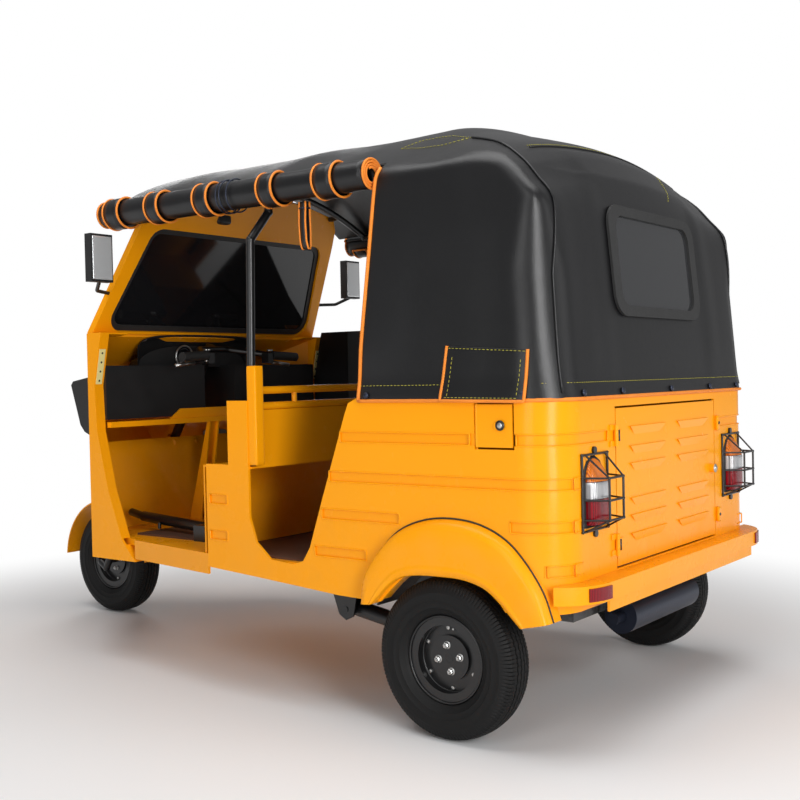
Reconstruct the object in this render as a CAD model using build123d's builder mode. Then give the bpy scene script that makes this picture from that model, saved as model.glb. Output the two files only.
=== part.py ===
"""Three-wheeled auto rickshaw: tubular hood frame on a pressed-steel body.

Frame: +X is the vehicle's left, +Y its rear, +Z up. The ground is Z = 0 and the origin
lies under the middle of the overall length, on the centre plane. Sizes are millimetres.
Heights are above the ground. Stations along Y are set back or forward from the two axles.
"""
import os
from math import atan2, cos, radians, sin, sqrt, tan

from build123d import *

os.makedirs("parts", exist_ok=True)

# ---------------------------------------------------------------- driving dimensions
overall_length = 2640.0
wheelbase = 2000.0
rear_overhang = 400.0
body_half_width = 620.0
fender_reach = 30.0         # past the body side
rear_axle_y = overall_length / 2 - rear_overhang
front_axle_y = rear_axle_y - wheelbase
fender_half_width = body_half_width + fender_reach

weld_bead = 1.0             # proud of the bars that it joins
panel = 8.0                 # double-skinned body panel with its stiffeners
seat_gap = 0.3              # soft trim to what carries it
shut_gap = 5.0              # round a lid that swings

# ---- wheels
tyre_radius = 203.5
tyre_width = 108.0
rim_radius = 111.0
track_half = 574.0
hub_radius = 57.0
hub_bore = 11.0
axle_clearance = 0.3
axle_radius = hub_bore - axle_clearance

# ---- body shell
floor_top = 405.0
floor_thickness = 20.0
hem_height = 857.0
body_rear_y = rear_axle_y + 335.0
corner_radius = 110.0
corner_start_y = body_rear_y - corner_radius
sill_front_y = rear_axle_y - 826.0
sill_height_front = 367.0
sill_height_rear = 330.0
rear_skirt_height = 345.0
entry_front_y = rear_axle_y - 655.0
entry_rear_low_y = rear_axle_y - 455.0
entry_rear_top_y = rear_axle_y - 300.0
entry_sill_height = 402.0
low_panel_top = 667.0
pillar_web_y = rear_axle_y - 735.0
pillar_top = hem_height - 7.0

# ---- rear wheel arch, half lengths and heights
arch_top = 428.0
arch_flat_half = 62.0
arch_foot_half = 205.0
arch_foot_height = 318.0

# ---- cowl
cowl_half_width = 550.0
door_edge = (               # offset from the rear axle, height
    (-1378.0, 1072.0),
    (-1416.0, 900.0),
    (-1409.0, 750.0),
    (-1362.0, 560.0),
    (-1298.0, 400.0),
    (-1236.0, 335.0),
)
cowl_top = door_edge[0][1]
nose_y = rear_axle_y - 1985.0
nose_height = 800.0
chin_y = rear_axle_y - 1880.0
chin_height = 490.0
toe_y = rear_axle_y - 1735.0
toe_height = 335.0
nose_half_width = 200.0

# ---- windshield
glass_foot_y = rear_axle_y - 1445.0
glass_foot_height = 1090.0
glass_lean = 27.0           # degrees from the vertical
glass_half_low = 500.0
glass_half_high = 415.0
glass_tall = 372.0
pillar_half_low = 545.0
pillar_half_high = 472.0
frame_tall = 455.0
frame_thickness = 24.0
glass_thickness = 6.0
glass_corner = 35.0

# ---- roof and hood
roof_crown = 1655.0
roof_edge_half = 560.0
roof_edge_height = 1469.0
roof_front_y = rear_axle_y - 1290.0
roof_front_height = 1600.0
roof_rear_y = rear_axle_y - 250.0
fold_y = rear_axle_y + 288.0
fold_height = 1340.0
shoulder_y = rear_axle_y + 185.0
shoulder_height = 1475.0
hood_skin = 8.0
hood_front_top_y = rear_axle_y - 192.0
hood_front_low_y = rear_axle_y - 246.0
hood_half_top = 606.0

# ---- hood frame tubes
tube_radius = 12.0
side_rail_x = 548.0
side_rail_height = 1428.0
roll_radius = 45.0
roll_front_y = rear_axle_y - 1262.0

# ---- steering
rake = 32.0                 # degrees from the vertical
axle_lead = 34.0            # axle ahead of the steering axis, square to it
column_radius = 17.0
fork_half = 84.0
fork_leg_radius = 14.0
mudguard_radius = 240.0
mudguard_half = 68.0
mudguard_skin = 5.0
grip_radius = 16.0
grip_inner = 165.0
grip_outer = 285.0
grip_y = rear_axle_y - 1285.0
grip_height = 990.0


# ---------------------------------------------------------------- helpers
def level(height):
    """Horizontal sketch plane; local x, y are X, Y."""
    return Plane.XY.offset(height)


def side(x):
    """Upright sketch plane square to X; local x, y are Y, Z and the normal is +X."""
    return Plane.YZ.offset(x)


def cross(y):
    """Upright sketch plane square to Y; local x, y are X, Z and the normal is +Y."""
    return Plane(origin=(0, y, 0), x_dir=(-1, 0, 0), z_dir=(0, 1, 0))


def block(x, y, z, mode=Mode.ADD):
    """Box given by its three ranges, each a pair (low, high)."""
    with BuildSketch(level(z[0])) as base:
        with Locations(((x[0] + x[1]) / 2, (y[0] + y[1]) / 2)):
            Rectangle(x[1] - x[0], y[1] - y[0])
    extrude(base.sketch, amount=z[1] - z[0], mode=mode)


def rod(start, end, radius, mode=Mode.ADD):
    """Round bar between two points."""
    run = Vector(*end) - Vector(*start)
    with BuildSketch(Plane(origin=start, z_dir=run)) as face:
        Circle(radius)
    extrude(face.sketch, amount=run.length, mode=mode)


def slab(plane, points, thickness, mode=Mode.ADD):
    """Plate of the given thickness over a plane, with a straight-edged outline."""
    with BuildSketch(plane) as face:
        Polygon(*points, align=None)
    extrude(face.sketch, amount=thickness, dir=plane.z_dir, mode=mode)


def ball(centre, radius):
    """Rounds the joint where bars meet."""
    with Locations(centre):
        Sphere(radius)


def rods(points, radius, bead=weld_bead):
    """Bars end to end through the points, with a bead where they meet."""
    for start, end in zip(points, points[1:]):
        rod(start, end, radius)
    for centre in points[1:-1]:
        ball(centre, radius + bead)


def tube(points, radius, bend):
    """Round bar bent through the points."""
    with BuildLine() as path:
        FilletPolyline(*points, radius=bend)
    start = Plane(origin=path.line @ 0, z_dir=path.line % 0)
    with BuildSketch(start) as face:
        Circle(radius)
    sweep(face.sketch, path=path.line)


def save(part, name):
    """Labels one finished piece and writes it."""
    part.label = name
    export_step(part, f"parts/{name}.step")


def save_pair(part, name):
    """Writes the left piece and its mirror image."""
    save(part, f"{name}_left")
    save(mirror(part, about=Plane.YZ), f"{name}_right")


# ---------------------------------------------------------------- wheels
def make_tyre(centre_x, centre_y):
    """Round-shouldered tyre turned about a line along X."""
    half = tyre_width / 2
    with BuildPart() as tyre:
        with BuildSketch(Plane(origin=(centre_x, centre_y, tyre_radius), x_dir=(1, 0, 0),
                               z_dir=(0, -1, 0))):
            with BuildLine():
                bead = Line((-half + 22, rim_radius), (half - 22, rim_radius))
                wall = Polyline(bead @ 1, (half - 6, rim_radius + 18), (half, rim_radius + 46),
                                (half - 8, tyre_radius - 16), (half - 26, tyre_radius - 3))
                tread = ThreePointArc(wall @ 1, (0, tyre_radius), (-half + 26, tyre_radius - 3))
                Polyline(tread @ 1, (-half + 8, tyre_radius - 16), (-half, rim_radius + 46),
                         (-half + 6, rim_radius + 18), bead @ 0)
            make_face()
        revolve(axis=Axis((centre_x, centre_y, tyre_radius), (1, 0, 0)))
    return tyre.part


def make_rim(centre_x, centre_y, hub_face):
    """Split steel rim on a bored hub. hub_face is the hub's outer reach from the centre."""
    drop = rim_radius - 26
    half = tyre_width / 2
    with BuildPart() as rim:
        with BuildSketch(Plane(origin=(centre_x, centre_y, tyre_radius), x_dir=(1, 0, 0),
                               z_dir=(0, -1, 0))):
            with BuildLine():
                Polyline((-half + 22, rim_radius), (-half + 22, drop), (-8, drop),
                         (-8, hub_radius), (-34, hub_radius), (-34, hub_bore),
                         (hub_face, hub_bore), (hub_face, hub_radius), (8, hub_radius),
                         (8, drop), (half - 22, drop), (half - 22, rim_radius),
                         (half - 28, rim_radius), (half - 28, drop + 6),
                         (-half + 28, drop + 6), (-half + 28, rim_radius), close=True)
            make_face()
        revolve(axis=Axis((centre_x, centre_y, tyre_radius), (1, 0, 0)))
    return rim.part


hub_reach = 16.0
save_pair(make_tyre(track_half, rear_axle_y), "rear_tyre")
save_pair(make_rim(track_half, rear_axle_y, hub_reach), "rear_rim")
save(make_tyre(0, front_axle_y), "front_tyre")
save(make_rim(0, front_axle_y, hub_reach), "front_rim")

# ---------------------------------------------------------------- chassis and floor
rail_x = 380.0
rail_half = 25.0
rail_low = 330.0
rail_front_y = rear_axle_y - 1560.0
rail_rear_y = body_rear_y - 30.0
rail_high = floor_top - floor_thickness
engine_half = 200.0
engine_front_y = rear_axle_y - 150.0
engine_rear_y = rear_axle_y + 140.0
cross_width = 50.0
muffler_y = rear_axle_y + 228.0
cross_stations = (
    rail_front_y,
    rear_axle_y - 620.0,
    engine_front_y - cross_width,
    engine_rear_y,
    rail_rear_y - cross_width,
)
with BuildPart() as chassis_frame:
    for sign in (1, -1):
        block((sign * rail_x - rail_half, sign * rail_x + rail_half),
              (rail_front_y, rail_rear_y), (rail_low, rail_high))
    for station in cross_stations:
        block((-rail_x, rail_x), (station, station + cross_width), (rail_low, rail_high))
save(chassis_frame.part, "chassis_frame")

seat_base_y = rear_axle_y - 385.0
side_inner = body_half_width - panel
cowl_inner = cowl_half_width - panel
door_foot_y = rear_axle_y + door_edge[-1][0]
toe_foot_y = rear_axle_y - 1520.0
toe_half = 462.0
with BuildPart() as floor_pan:
    with BuildSketch(level(floor_top - floor_thickness)):
        with BuildLine():
            Polyline((-side_inner, seat_base_y), (-side_inner, sill_front_y),
                     (-cowl_inner, door_foot_y), (-toe_half, toe_foot_y), (toe_half, toe_foot_y),
                     (cowl_inner, door_foot_y), (side_inner, sill_front_y),
                     (side_inner, seat_base_y), close=True)
        make_face()
    extrude(amount=floor_thickness)
save(floor_pan.part, "floor_pan")

mat = 6.0
with BuildPart() as floor_mats:
    block((-460, 460), (rear_axle_y - 1330, rear_axle_y - 1062), (floor_top, floor_top + mat))
    block((-590, 590), (rear_axle_y - 836, seat_base_y - 6), (floor_top, floor_top + mat))
save(floor_mats.part, "floor_mats")

with BuildPart() as engine_block:
    block((-engine_half, engine_half), (engine_front_y, engine_rear_y), (235, 545))
save(engine_block.part, "engine_block")

# ---------------------------------------------------------------- body sides
rib_height = 28.0
rib_depth = 4.0
side_ribs = (               # offset of each end from the rear axle, drop below the hem
    (-316, 225, 89),
    (-356, 225, 194),
    (-384, -125, 295),
    (202, 225, 295),
    (-412, -235, 397),
    (-814, -742, 277),
    (-814, -742, 381),
)


arch_points = (             # sloping jambs under a flat-topped arch
    (rear_axle_y - arch_foot_half, arch_foot_height - 60),
    (rear_axle_y - arch_foot_half, arch_foot_height),
    (rear_axle_y - 150, 372),
    (rear_axle_y - arch_flat_half - 34, arch_top - 10),
    (rear_axle_y - arch_flat_half, arch_top),
    (rear_axle_y + arch_flat_half, arch_top),
    (rear_axle_y + arch_flat_half + 44, arch_top - 10),
    (rear_axle_y + 158, 378),
    (rear_axle_y + arch_foot_half, arch_foot_height),
    (rear_axle_y + arch_foot_half, arch_foot_height - 60),
)
fuel_front_y = rear_axle_y + 106.0
fuel_rear_y = rear_axle_y + 218.0
fuel_low = hem_height - 126.0
fuel_high = hem_height - 13.0
with BuildPart() as side_body:
    with BuildSketch(side(side_inner)):
        with BuildLine():
            Polyline((corner_start_y, rear_skirt_height), (corner_start_y, hem_height),
                     (entry_rear_top_y + 46, hem_height), (entry_rear_top_y + 14, hem_height - 15),
                     (entry_rear_top_y, hem_height - 47),
                     (rear_axle_y - 383, 584), (rear_axle_y - 430, 452),
                     (entry_rear_low_y, 414), (entry_rear_low_y - 34, entry_sill_height),
                     (entry_front_y + 78, entry_sill_height + 6),
                     (entry_front_y + 24, 452), (entry_front_y, 520),
                     (entry_front_y, pillar_top), (pillar_web_y, pillar_top),
                     (pillar_web_y, low_panel_top), (sill_front_y, low_panel_top),
                     (sill_front_y, sill_height_front), (rear_axle_y - 612, 353),
                     (rear_axle_y - 335, 333), (rear_axle_y - arch_foot_half, sill_height_rear),
                     close=True)
        make_face()
    extrude(amount=panel)
    slab(side(side_inner), arch_points, panel, mode=Mode.SUBTRACT)
    for rib_front, rib_rear, drop in side_ribs:
        block((body_half_width - rib_depth, body_half_width + rib_depth),
              (rear_axle_y + rib_front, rear_axle_y + rib_rear),
              (hem_height - drop - rib_height, hem_height - drop), mode=Mode.SUBTRACT)
side_body_right = mirror(side_body.part, about=Plane.YZ)
with BuildPart() as side_body_left:
    add(side_body.part)
    block((side_inner, body_half_width), (fuel_front_y, fuel_rear_y), (fuel_low, fuel_high),
          mode=Mode.SUBTRACT)
save(side_body_left.part, "side_body_left")
save(side_body_right, "side_body_right")

# ---------------------------------------------------------------- fuel door
fuel_pin_radius = 2.0
fuel_barrel_radius = 4.5
fuel_pin_x = body_half_width - 4.0
fuel_pin_y = fuel_front_y + fuel_barrel_radius + 1.5
with BuildPart() as fuel_door:
    block((body_half_width - 5, body_half_width), (fuel_pin_y, fuel_rear_y - shut_gap),
          (fuel_low + shut_gap, fuel_high - shut_gap))
    rod((fuel_pin_x, fuel_pin_y, fuel_low + shut_gap), (fuel_pin_x, fuel_pin_y, fuel_high - shut_gap),
        fuel_barrel_radius)
    rod((fuel_pin_x, fuel_pin_y, fuel_low), (fuel_pin_x, fuel_pin_y, fuel_high),
        fuel_pin_radius + axle_clearance, mode=Mode.SUBTRACT)
    rod((body_half_width, (fuel_front_y + fuel_rear_y) / 2 + 10, (fuel_low + fuel_high) / 2),
        (body_half_width + 4, (fuel_front_y + fuel_rear_y) / 2 + 10, (fuel_low + fuel_high) / 2), 9)
save(fuel_door.part, "fuel_door")


# ---------------------------------------------------------------- rear body panel
hatch_half = 324.0
hatch_low = 423.0
hatch_high = hem_height - 38.0


def body_prism(inset, front_y, low, high):
    """Upright block with the body's plan: square in front, rounded at the rear corners."""
    with BuildPart() as prism:
        with BuildSketch(level(low)) as plan:
            rear_y = body_rear_y - inset
            with Locations((0, (front_y + rear_y) / 2)):
                Rectangle(2 * (body_half_width - inset), rear_y - front_y)
            fillet(plan.vertices().group_by(Axis.Y)[-1], corner_radius - inset)
        extrude(plan.sketch, amount=high - low)
    return prism.part


corner_outer = body_prism(0, corner_start_y, rear_skirt_height, hem_height)
corner_inner = body_prism(panel, corner_start_y - 1, rear_skirt_height - 1, hem_height + 1)
rib_core = body_prism(rib_depth, corner_start_y - 1, rear_skirt_height - 1, hem_height + 1)
corner_ribs = (             # front station, end on the rear face along X, drop below the hem
    (corner_start_y, 370, 89),
    (corner_start_y, 545, 194),
    (corner_start_y, 545, 295),
    (rear_axle_y + 282, 545, 397),
)
with BuildPart() as rib_grooves:
    for rib_front, rib_end, drop in corner_ribs:
        block((rib_end, body_half_width), (rib_front, body_rear_y),
              (hem_height - drop - rib_height, hem_height - drop))
    add(rib_core, mode=Mode.SUBTRACT)
    mirror(about=Plane.YZ)
with BuildPart() as rear_body:
    add(corner_outer)
    add(corner_inner, mode=Mode.SUBTRACT)
    add(rib_grooves.part, mode=Mode.SUBTRACT)
    block((-hatch_half - shut_gap, hatch_half + shut_gap), (body_rear_y - 2 * panel, body_rear_y),
          (hatch_low - shut_gap, hatch_high + shut_gap), mode=Mode.SUBTRACT)
save(rear_body.part, "rear_body_panel")

# ---------------------------------------------------------------- engine hatch
hinge_x = hatch_half + 12.0
hinge_y = body_rear_y + 7.0
hinge_heights = (hatch_low + 57.0, hatch_high - 67.0)
knuckle_radius = 6.0
pin_radius = 3.0
knuckle_tall = 26.0
lock_height = (hatch_low + hatch_high) / 2
louvre_columns = (-160.0, 140.0)
louvre_rows = (48.0, 98.0, 142.0, 231.0, 275.0, 322.0)  # slot, drop below the hatch's top edge
louvre_fall = 22.0
louvre_proud = 6.0
louvre_half_top = 110.0
louvre_half_foot = 78.0
louvre_tilt = atan2(louvre_proud, louvre_fall)
with BuildPart() as engine_hatch:
    block((-hatch_half, hatch_half), (body_rear_y - panel, body_rear_y), (hatch_low, hatch_high))
    for height in hinge_heights:
        low = height - knuckle_tall / 2
        block((hatch_half - 30, hinge_x), (body_rear_y, body_rear_y + 4),
              (low, low + knuckle_tall))
        rod((hinge_x, hinge_y, low), (hinge_x, hinge_y, low + knuckle_tall), knuckle_radius)
        rod((hinge_x, hinge_y, low - 1), (hinge_x, hinge_y, low + knuckle_tall + 1),
            pin_radius + axle_clearance, mode=Mode.SUBTRACT)
    for column in louvre_columns:
        for drop in louvre_rows:
            scoop = Plane(origin=(column, body_rear_y, hatch_high - drop - louvre_fall),
                          x_dir=(1, 0, 0), z_dir=(0, -cos(louvre_tilt), sin(louvre_tilt)))
            slab(scoop, ((-louvre_half_foot, 0), (louvre_half_foot, 0),
                         (louvre_half_top, louvre_fall), (-louvre_half_top, louvre_fall)),
                 louvre_proud + 1)
    rod((-hatch_half + 28, body_rear_y, lock_height), (-hatch_half + 28, body_rear_y + 14, lock_height),
        13)
save(engine_hatch.part, "engine_hatch")

with BuildPart() as lid_hinges:
    rod((fuel_pin_x, fuel_pin_y, fuel_low), (fuel_pin_x, fuel_pin_y, fuel_high), fuel_pin_radius)
    for height in hinge_heights:
        low = height - knuckle_tall / 2
        high = height + knuckle_tall / 2
        rod((hinge_x, hinge_y, low - 14), (hinge_x, hinge_y, high + 14), pin_radius)
        for foot, head in ((low - 14, low - seat_gap), (high + seat_gap, high + 14)):
            rod((hinge_x, hinge_y, foot), (hinge_x, hinge_y, head), knuckle_radius)
            block((hinge_x, hinge_x + 26), (body_rear_y, body_rear_y + 4), (foot, head))
save(lid_hinges.part, "lid_hinges")

# ---------------------------------------------------------------- rear fenders
fender_inner = body_half_width - 60.0
with BuildPart() as fenders:
    with BuildSketch(side(fender_inner)):
        with BuildLine():
            Polyline((rear_axle_y - 246, 330), (rear_axle_y - 227, 401),
                     (rear_axle_y - 133, 511), (rear_axle_y - 8, 558), (rear_axle_y + 109, 554),
                     (rear_axle_y + 192, 517), (rear_axle_y + 272, 446),
                     (rear_axle_y + 314, 338), (rear_axle_y + 242, 322),
                     (rear_axle_y + arch_foot_half, arch_foot_height),
                     (rear_axle_y - arch_foot_half, arch_foot_height), close=True)
        make_face()
    extrude(amount=fender_half_width - fender_inner)
    add(body_prism(0, rear_axle_y - 400, 200, 700), mode=Mode.SUBTRACT)
    slab(side(fender_inner), arch_points, fender_half_width - fender_inner, mode=Mode.SUBTRACT)
    mirror(about=Plane.YZ)
save(fenders.part, "fenders")

well_radius = 240.0
with BuildPart() as wheel_wells:
    for sign in (1, -1):
        with BuildSketch(side(sign * side_inner)):
            with Locations((rear_axle_y, tyre_radius)):
                Circle(well_radius)
                Circle(well_radius - 4, mode=Mode.SUBTRACT)
            with Locations((rear_axle_y, arch_foot_height - well_radius)):
                Rectangle(3 * well_radius, 2 * well_radius, mode=Mode.SUBTRACT)
        extrude(amount=-sign * 130)
save(wheel_wells.part, "wheel_wells")

# ---------------------------------------------------------------- rear suspension
arm_x = 470.0
arm_pivot_y = rear_axle_y - 400.0
arm_pivot_height = 268.0
arm_half = 22.0
with BuildPart() as trailing_arms:
    rod((arm_x - 34, arm_pivot_y, arm_pivot_height), (arm_x + 34, arm_pivot_y, arm_pivot_height), 22)
    rod((arm_x, arm_pivot_y, arm_pivot_height), (arm_x, rear_axle_y, tyre_radius), arm_half)
    rod((arm_x - 30, rear_axle_y, tyre_radius), (track_half - 36, rear_axle_y, tyre_radius), 34)
    rod((arm_x, rear_axle_y, tyre_radius), (track_half + hub_reach, rear_axle_y, tyre_radius),
        axle_radius)
    rod((arm_x - 34, arm_pivot_y, arm_pivot_height),
        (arm_x + 34, arm_pivot_y, arm_pivot_height), 8, mode=Mode.SUBTRACT)
    mirror(about=Plane.YZ)
save(trailing_arms.part, "trailing_arms")

with BuildPart() as arm_brackets:
    for sign in (1, -1):
        for lug in (-40, 35):
            x_low = sign * arm_x + lug
            with BuildSketch(side(x_low)):
                with BuildLine():
                    Polyline((arm_pivot_y - 62, 353), (arm_pivot_y + 48, 353),
                             (arm_pivot_y + 26, 250), (arm_pivot_y, 238),
                             (arm_pivot_y - 24, 252), close=True)
                make_face()
            extrude(amount=5)
        block(sorted((sign * (rail_x + rail_half), sign * side_inner)),
              (arm_pivot_y - 62, arm_pivot_y + 48), (353, 361))
        rod((sign * arm_x - 42, arm_pivot_y, arm_pivot_height),
            (sign * arm_x + 42, arm_pivot_y, arm_pivot_height), 8 - seat_gap)
save(arm_brackets.part, "arm_brackets")

shaft_height = 250.0
joint_length = 50.0
with BuildPart() as driveshafts:
    for sign in (1, -1):
        rod((sign * engine_half, rear_axle_y, shaft_height),
            (sign * (engine_half + joint_length), rear_axle_y, shaft_height), 32)
        rod((sign * (engine_half + joint_length - 8), rear_axle_y, shaft_height),
            (sign * (arm_x - 34), rear_axle_y, tyre_radius + 4), 13)
save(driveshafts.part, "driveshafts")

shock_radius = 17.0
shock_x = rail_x + rail_half + shock_radius + seat_gap
shock_y = rear_axle_y - 90.0
shock_foot = 218.0
with BuildPart() as shock_absorbers:
    for sign in (1, -1):
        rod((sign * shock_x, shock_y, shock_foot - 12), (sign * shock_x, shock_y, rail_high),
            shock_radius)
        rod((sign * shock_x, shock_y, shock_foot),
            (sign * (arm_x - arm_half - seat_gap), shock_y, shock_foot), 9)
save(shock_absorbers.part, "shock_absorbers")

muffler_radius = 48.0
muffler_height = 243.0
muffler_ends = (-340.0, 95.0)
with BuildPart() as muffler:
    rod((muffler_ends[0], muffler_y, muffler_height), (muffler_ends[1], muffler_y, muffler_height),
        muffler_radius)
    rod((muffler_ends[1], muffler_y, muffler_height),
        (muffler_ends[1] + 46, muffler_y, muffler_height), 16)
    for x in (muffler_ends[0] + 60, muffler_ends[1] - 60):
        block((x - 12, x + 12), (muffler_y - 3, muffler_y + 3), (muffler_height, rail_low))
        block((x - 12, x + 12), (muffler_y - 3, rail_rear_y - cross_width / 2),
              (rail_low - 5, rail_low))
save(muffler.part, "muffler")

# ---------------------------------------------------------------- bumper and rear lamps
reflector_thick = 4.0
bumper_rear_y = rear_axle_y + rear_overhang - reflector_thick
bumper_front_y = body_rear_y - 20.0
bumper_low = 372.0
bumper_high = 415.0
bumper_half = body_half_width + 16.0
bumper_bend = 150.0
lip_low = 343.0
with BuildPart() as rear_bumper:
    with BuildSketch(level(bumper_low)) as bar:
        with Locations((0, bumper_rear_y - bumper_bend)):
            Rectangle(2 * bumper_half, 2 * bumper_bend)
        fillet(bar.vertices().group_by(Axis.Y)[-1], bumper_bend - 1)
        with Locations((0, bumper_front_y - bumper_bend)):
            Rectangle(3 * bumper_half, 2 * bumper_bend, mode=Mode.SUBTRACT)
    extrude(amount=bumper_high - bumper_low)
    add(corner_outer, mode=Mode.SUBTRACT)
    block((-side_inner + corner_radius, side_inner - corner_radius),
          (body_rear_y - corner_radius, body_rear_y), (lip_low, bumper_high), mode=Mode.SUBTRACT)
    block((-480, 480), (bumper_rear_y - 14, bumper_rear_y - 8), (lip_low, bumper_low))
save(rear_bumper.part, "rear_bumper")

lamp_x = 452.0
lamp_half = 40.0
lamp_low = 545.0
lamp_high = 704.0
lamp_deep = 32.0
with BuildPart() as tail_lamps:
    with BuildSketch(cross(body_rear_y)) as lamp_face:
        with Locations((-lamp_x, (lamp_low + lamp_high) / 2)):
            Rectangle(2 * lamp_half, lamp_high - lamp_low)
        fillet(lamp_face.vertices().group_by(Axis.Y)[-1], lamp_half - 2)
        fillet(lamp_face.vertices().group_by(Axis.Y)[0], 16)
    extrude(amount=lamp_deep)
    mirror(about=Plane.YZ)
save(tail_lamps.part, "tail_lamps")

wire = 3.0
thin_wire = 2.4
guard_x = 448.0
guard_half = 66.0
guard_wall_y = body_rear_y + wire + 1.0
guard_rear_y = body_rear_y + 60.0
guard_low = 531.0
guard_high = 714.0
cage_half = 37.0
cage_heights = (560.0, 607.0, 660.0)
guard_bolt_radius = 9.0
with BuildPart() as lamp_guards:
    for x in (guard_x - guard_half, guard_x + guard_half):
        rod((x, guard_wall_y, guard_low), (x, guard_wall_y, guard_high), wire)
    for height in (guard_low, guard_high):
        rod((guard_x - guard_half, guard_wall_y, height), (guard_x + guard_half, guard_wall_y, height),
            wire)
        for x in (guard_x - guard_half, guard_x + guard_half):
            ball((x, guard_wall_y, height), wire + weld_bead)
    for x in (guard_x - cage_half, guard_x + cage_half):
        rod((x, guard_rear_y, cage_heights[0]), (x, guard_rear_y, cage_heights[-1]), wire)
    for height in cage_heights:
        rod((guard_x - cage_half, guard_rear_y, height), (guard_x + cage_half, guard_rear_y, height),
            wire)
        for way in (-1, 1):
            corner = (guard_x + way * cage_half, guard_rear_y, height)
            ball(corner, wire + weld_bead)
            rod((guard_x + way * guard_half, guard_wall_y, height), corner, thin_wire)
    for way in (-1, 1):
        rod((guard_x + way * 50, guard_wall_y, guard_high),
            (guard_x + way * cage_half, guard_rear_y, cage_heights[-1]), thin_wire)
        rod((guard_x + way * 50, guard_wall_y, guard_low),
            (guard_x + way * cage_half, guard_rear_y, cage_heights[0]), thin_wire)
    for height in (guard_low - guard_bolt_radius, guard_high + guard_bolt_radius):
        rod((guard_x, body_rear_y, height), (guard_x, body_rear_y + 6, height), guard_bolt_radius)
    mirror(about=Plane.YZ)
save(lamp_guards.part, "lamp_guards")

bend_centre = (bumper_half - bumper_bend + 1, bumper_rear_y - bumper_bend + 1)
reflector_reach = tan(radians(30))
with BuildPart() as reflectors:
    with BuildSketch(level(bumper_low + 6)):
        with Locations(bend_centre):
            Circle(bumper_bend - 1 + reflector_thick)
            Circle(bumper_bend - 1, mode=Mode.SUBTRACT)
            Polygon((0, 0), (0, 2 * bumper_bend), (2 * bumper_bend * reflector_reach, 2 * bumper_bend),
                    align=None, mode=Mode.INTERSECT)
    extrude(amount=31)
    mirror(about=Plane.YZ)
save(reflectors.part, "reflectors")

# ---------------------------------------------------------------- seats and bulkheads
seat_height = 556.0
seat_back_y = rear_axle_y + 40.0
with BuildPart() as seat_base:
    block((-side_inner, side_inner), (seat_base_y, seat_base_y + panel), (rail_high, seat_height))
    block((-side_inner, side_inner), (seat_base_y, seat_back_y), (seat_height - panel, seat_height))
    block((-side_inner, side_inner), (seat_back_y - panel, seat_back_y),
          (seat_height - panel, hem_height))
    block((-side_inner, side_inner), (seat_back_y - panel, corner_start_y),
          (hem_height - panel, hem_height))
save(seat_base.part, "seat_base")

cushion_half = 585.0
with BuildPart() as passenger_seat:
    block((-cushion_half, cushion_half), (seat_base_y + 4, seat_back_y - 84),
          (seat_height + seat_gap, seat_height + 95))
    block((-cushion_half, cushion_half), (seat_back_y - 80, seat_back_y - panel - seat_gap),
          (seat_height + 60, 1010))
save(passenger_seat.part, "passenger_seat")

partition_y = rear_axle_y - 656.0
sheet = 6.0
rail_bar = 11.0
post_x = side_inner - tube_radius
rail_reach = post_x - tube_radius - seat_gap
upper_panel_low = 663.0
upper_panel_high = 822.0
driver_front_y = rear_axle_y - 1050.0
driver_box_rear_y = rear_axle_y - 846.0
driver_half = 270.0
with BuildPart() as partition:
    block((-rail_reach, rail_reach), (partition_y, partition_y + sheet),
          (upper_panel_low, upper_panel_high))
    block((-side_inner, side_inner), (driver_box_rear_y, partition_y + sheet),
          (upper_panel_low - sheet, upper_panel_low))
    block((-side_inner, side_inner), (driver_box_rear_y, driver_box_rear_y + sheet),
          (floor_top, upper_panel_low))
save(partition.part, "partition")

post_y = partition_y - 4.0
rail_heights = (upper_panel_high + rail_bar, 878.0)
with BuildPart() as partition_rails:
    for height in rail_heights:
        rod((-rail_reach, partition_y, height), (rail_reach, partition_y, height), rail_bar)
    for x in (-420, 0, 420):
        rod((x, partition_y, rail_heights[0]), (x, partition_y, rail_heights[1]), 8)
save(partition_rails.part, "partition_rails")

with BuildPart() as driver_seat_base:
    block((-driver_half, driver_half), (driver_front_y, driver_front_y + sheet),
          (floor_top, upper_panel_low))
    block((-driver_half, driver_half), (driver_front_y, driver_box_rear_y),
          (upper_panel_low - sheet, upper_panel_low))
    for sign in (1, -1):
        block(sorted((sign * driver_half, sign * (driver_half - sheet))),
              (driver_front_y, driver_box_rear_y), (floor_top, upper_panel_low))
save(driver_seat_base.part, "driver_seat_base")
with BuildPart() as driver_seat:
    block((-driver_half + 6, driver_half - 6), (driver_front_y + 4, partition_y - 66),
          (upper_panel_low + seat_gap, upper_panel_low + 62))
    block((-driver_half + 20, driver_half - 20), (partition_y - 60, partition_y - seat_gap),
          (upper_panel_low + seat_gap, upper_panel_high - 6))
save(driver_seat.part, "driver_seat")

# ---------------------------------------------------------------- cowl
edge_points = [(rear_axle_y + setback, height) for setback, height in door_edge]
cowl_side_y = rear_axle_y - 1450.0
cowl_waist_y = rear_axle_y - 1880.0


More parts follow.
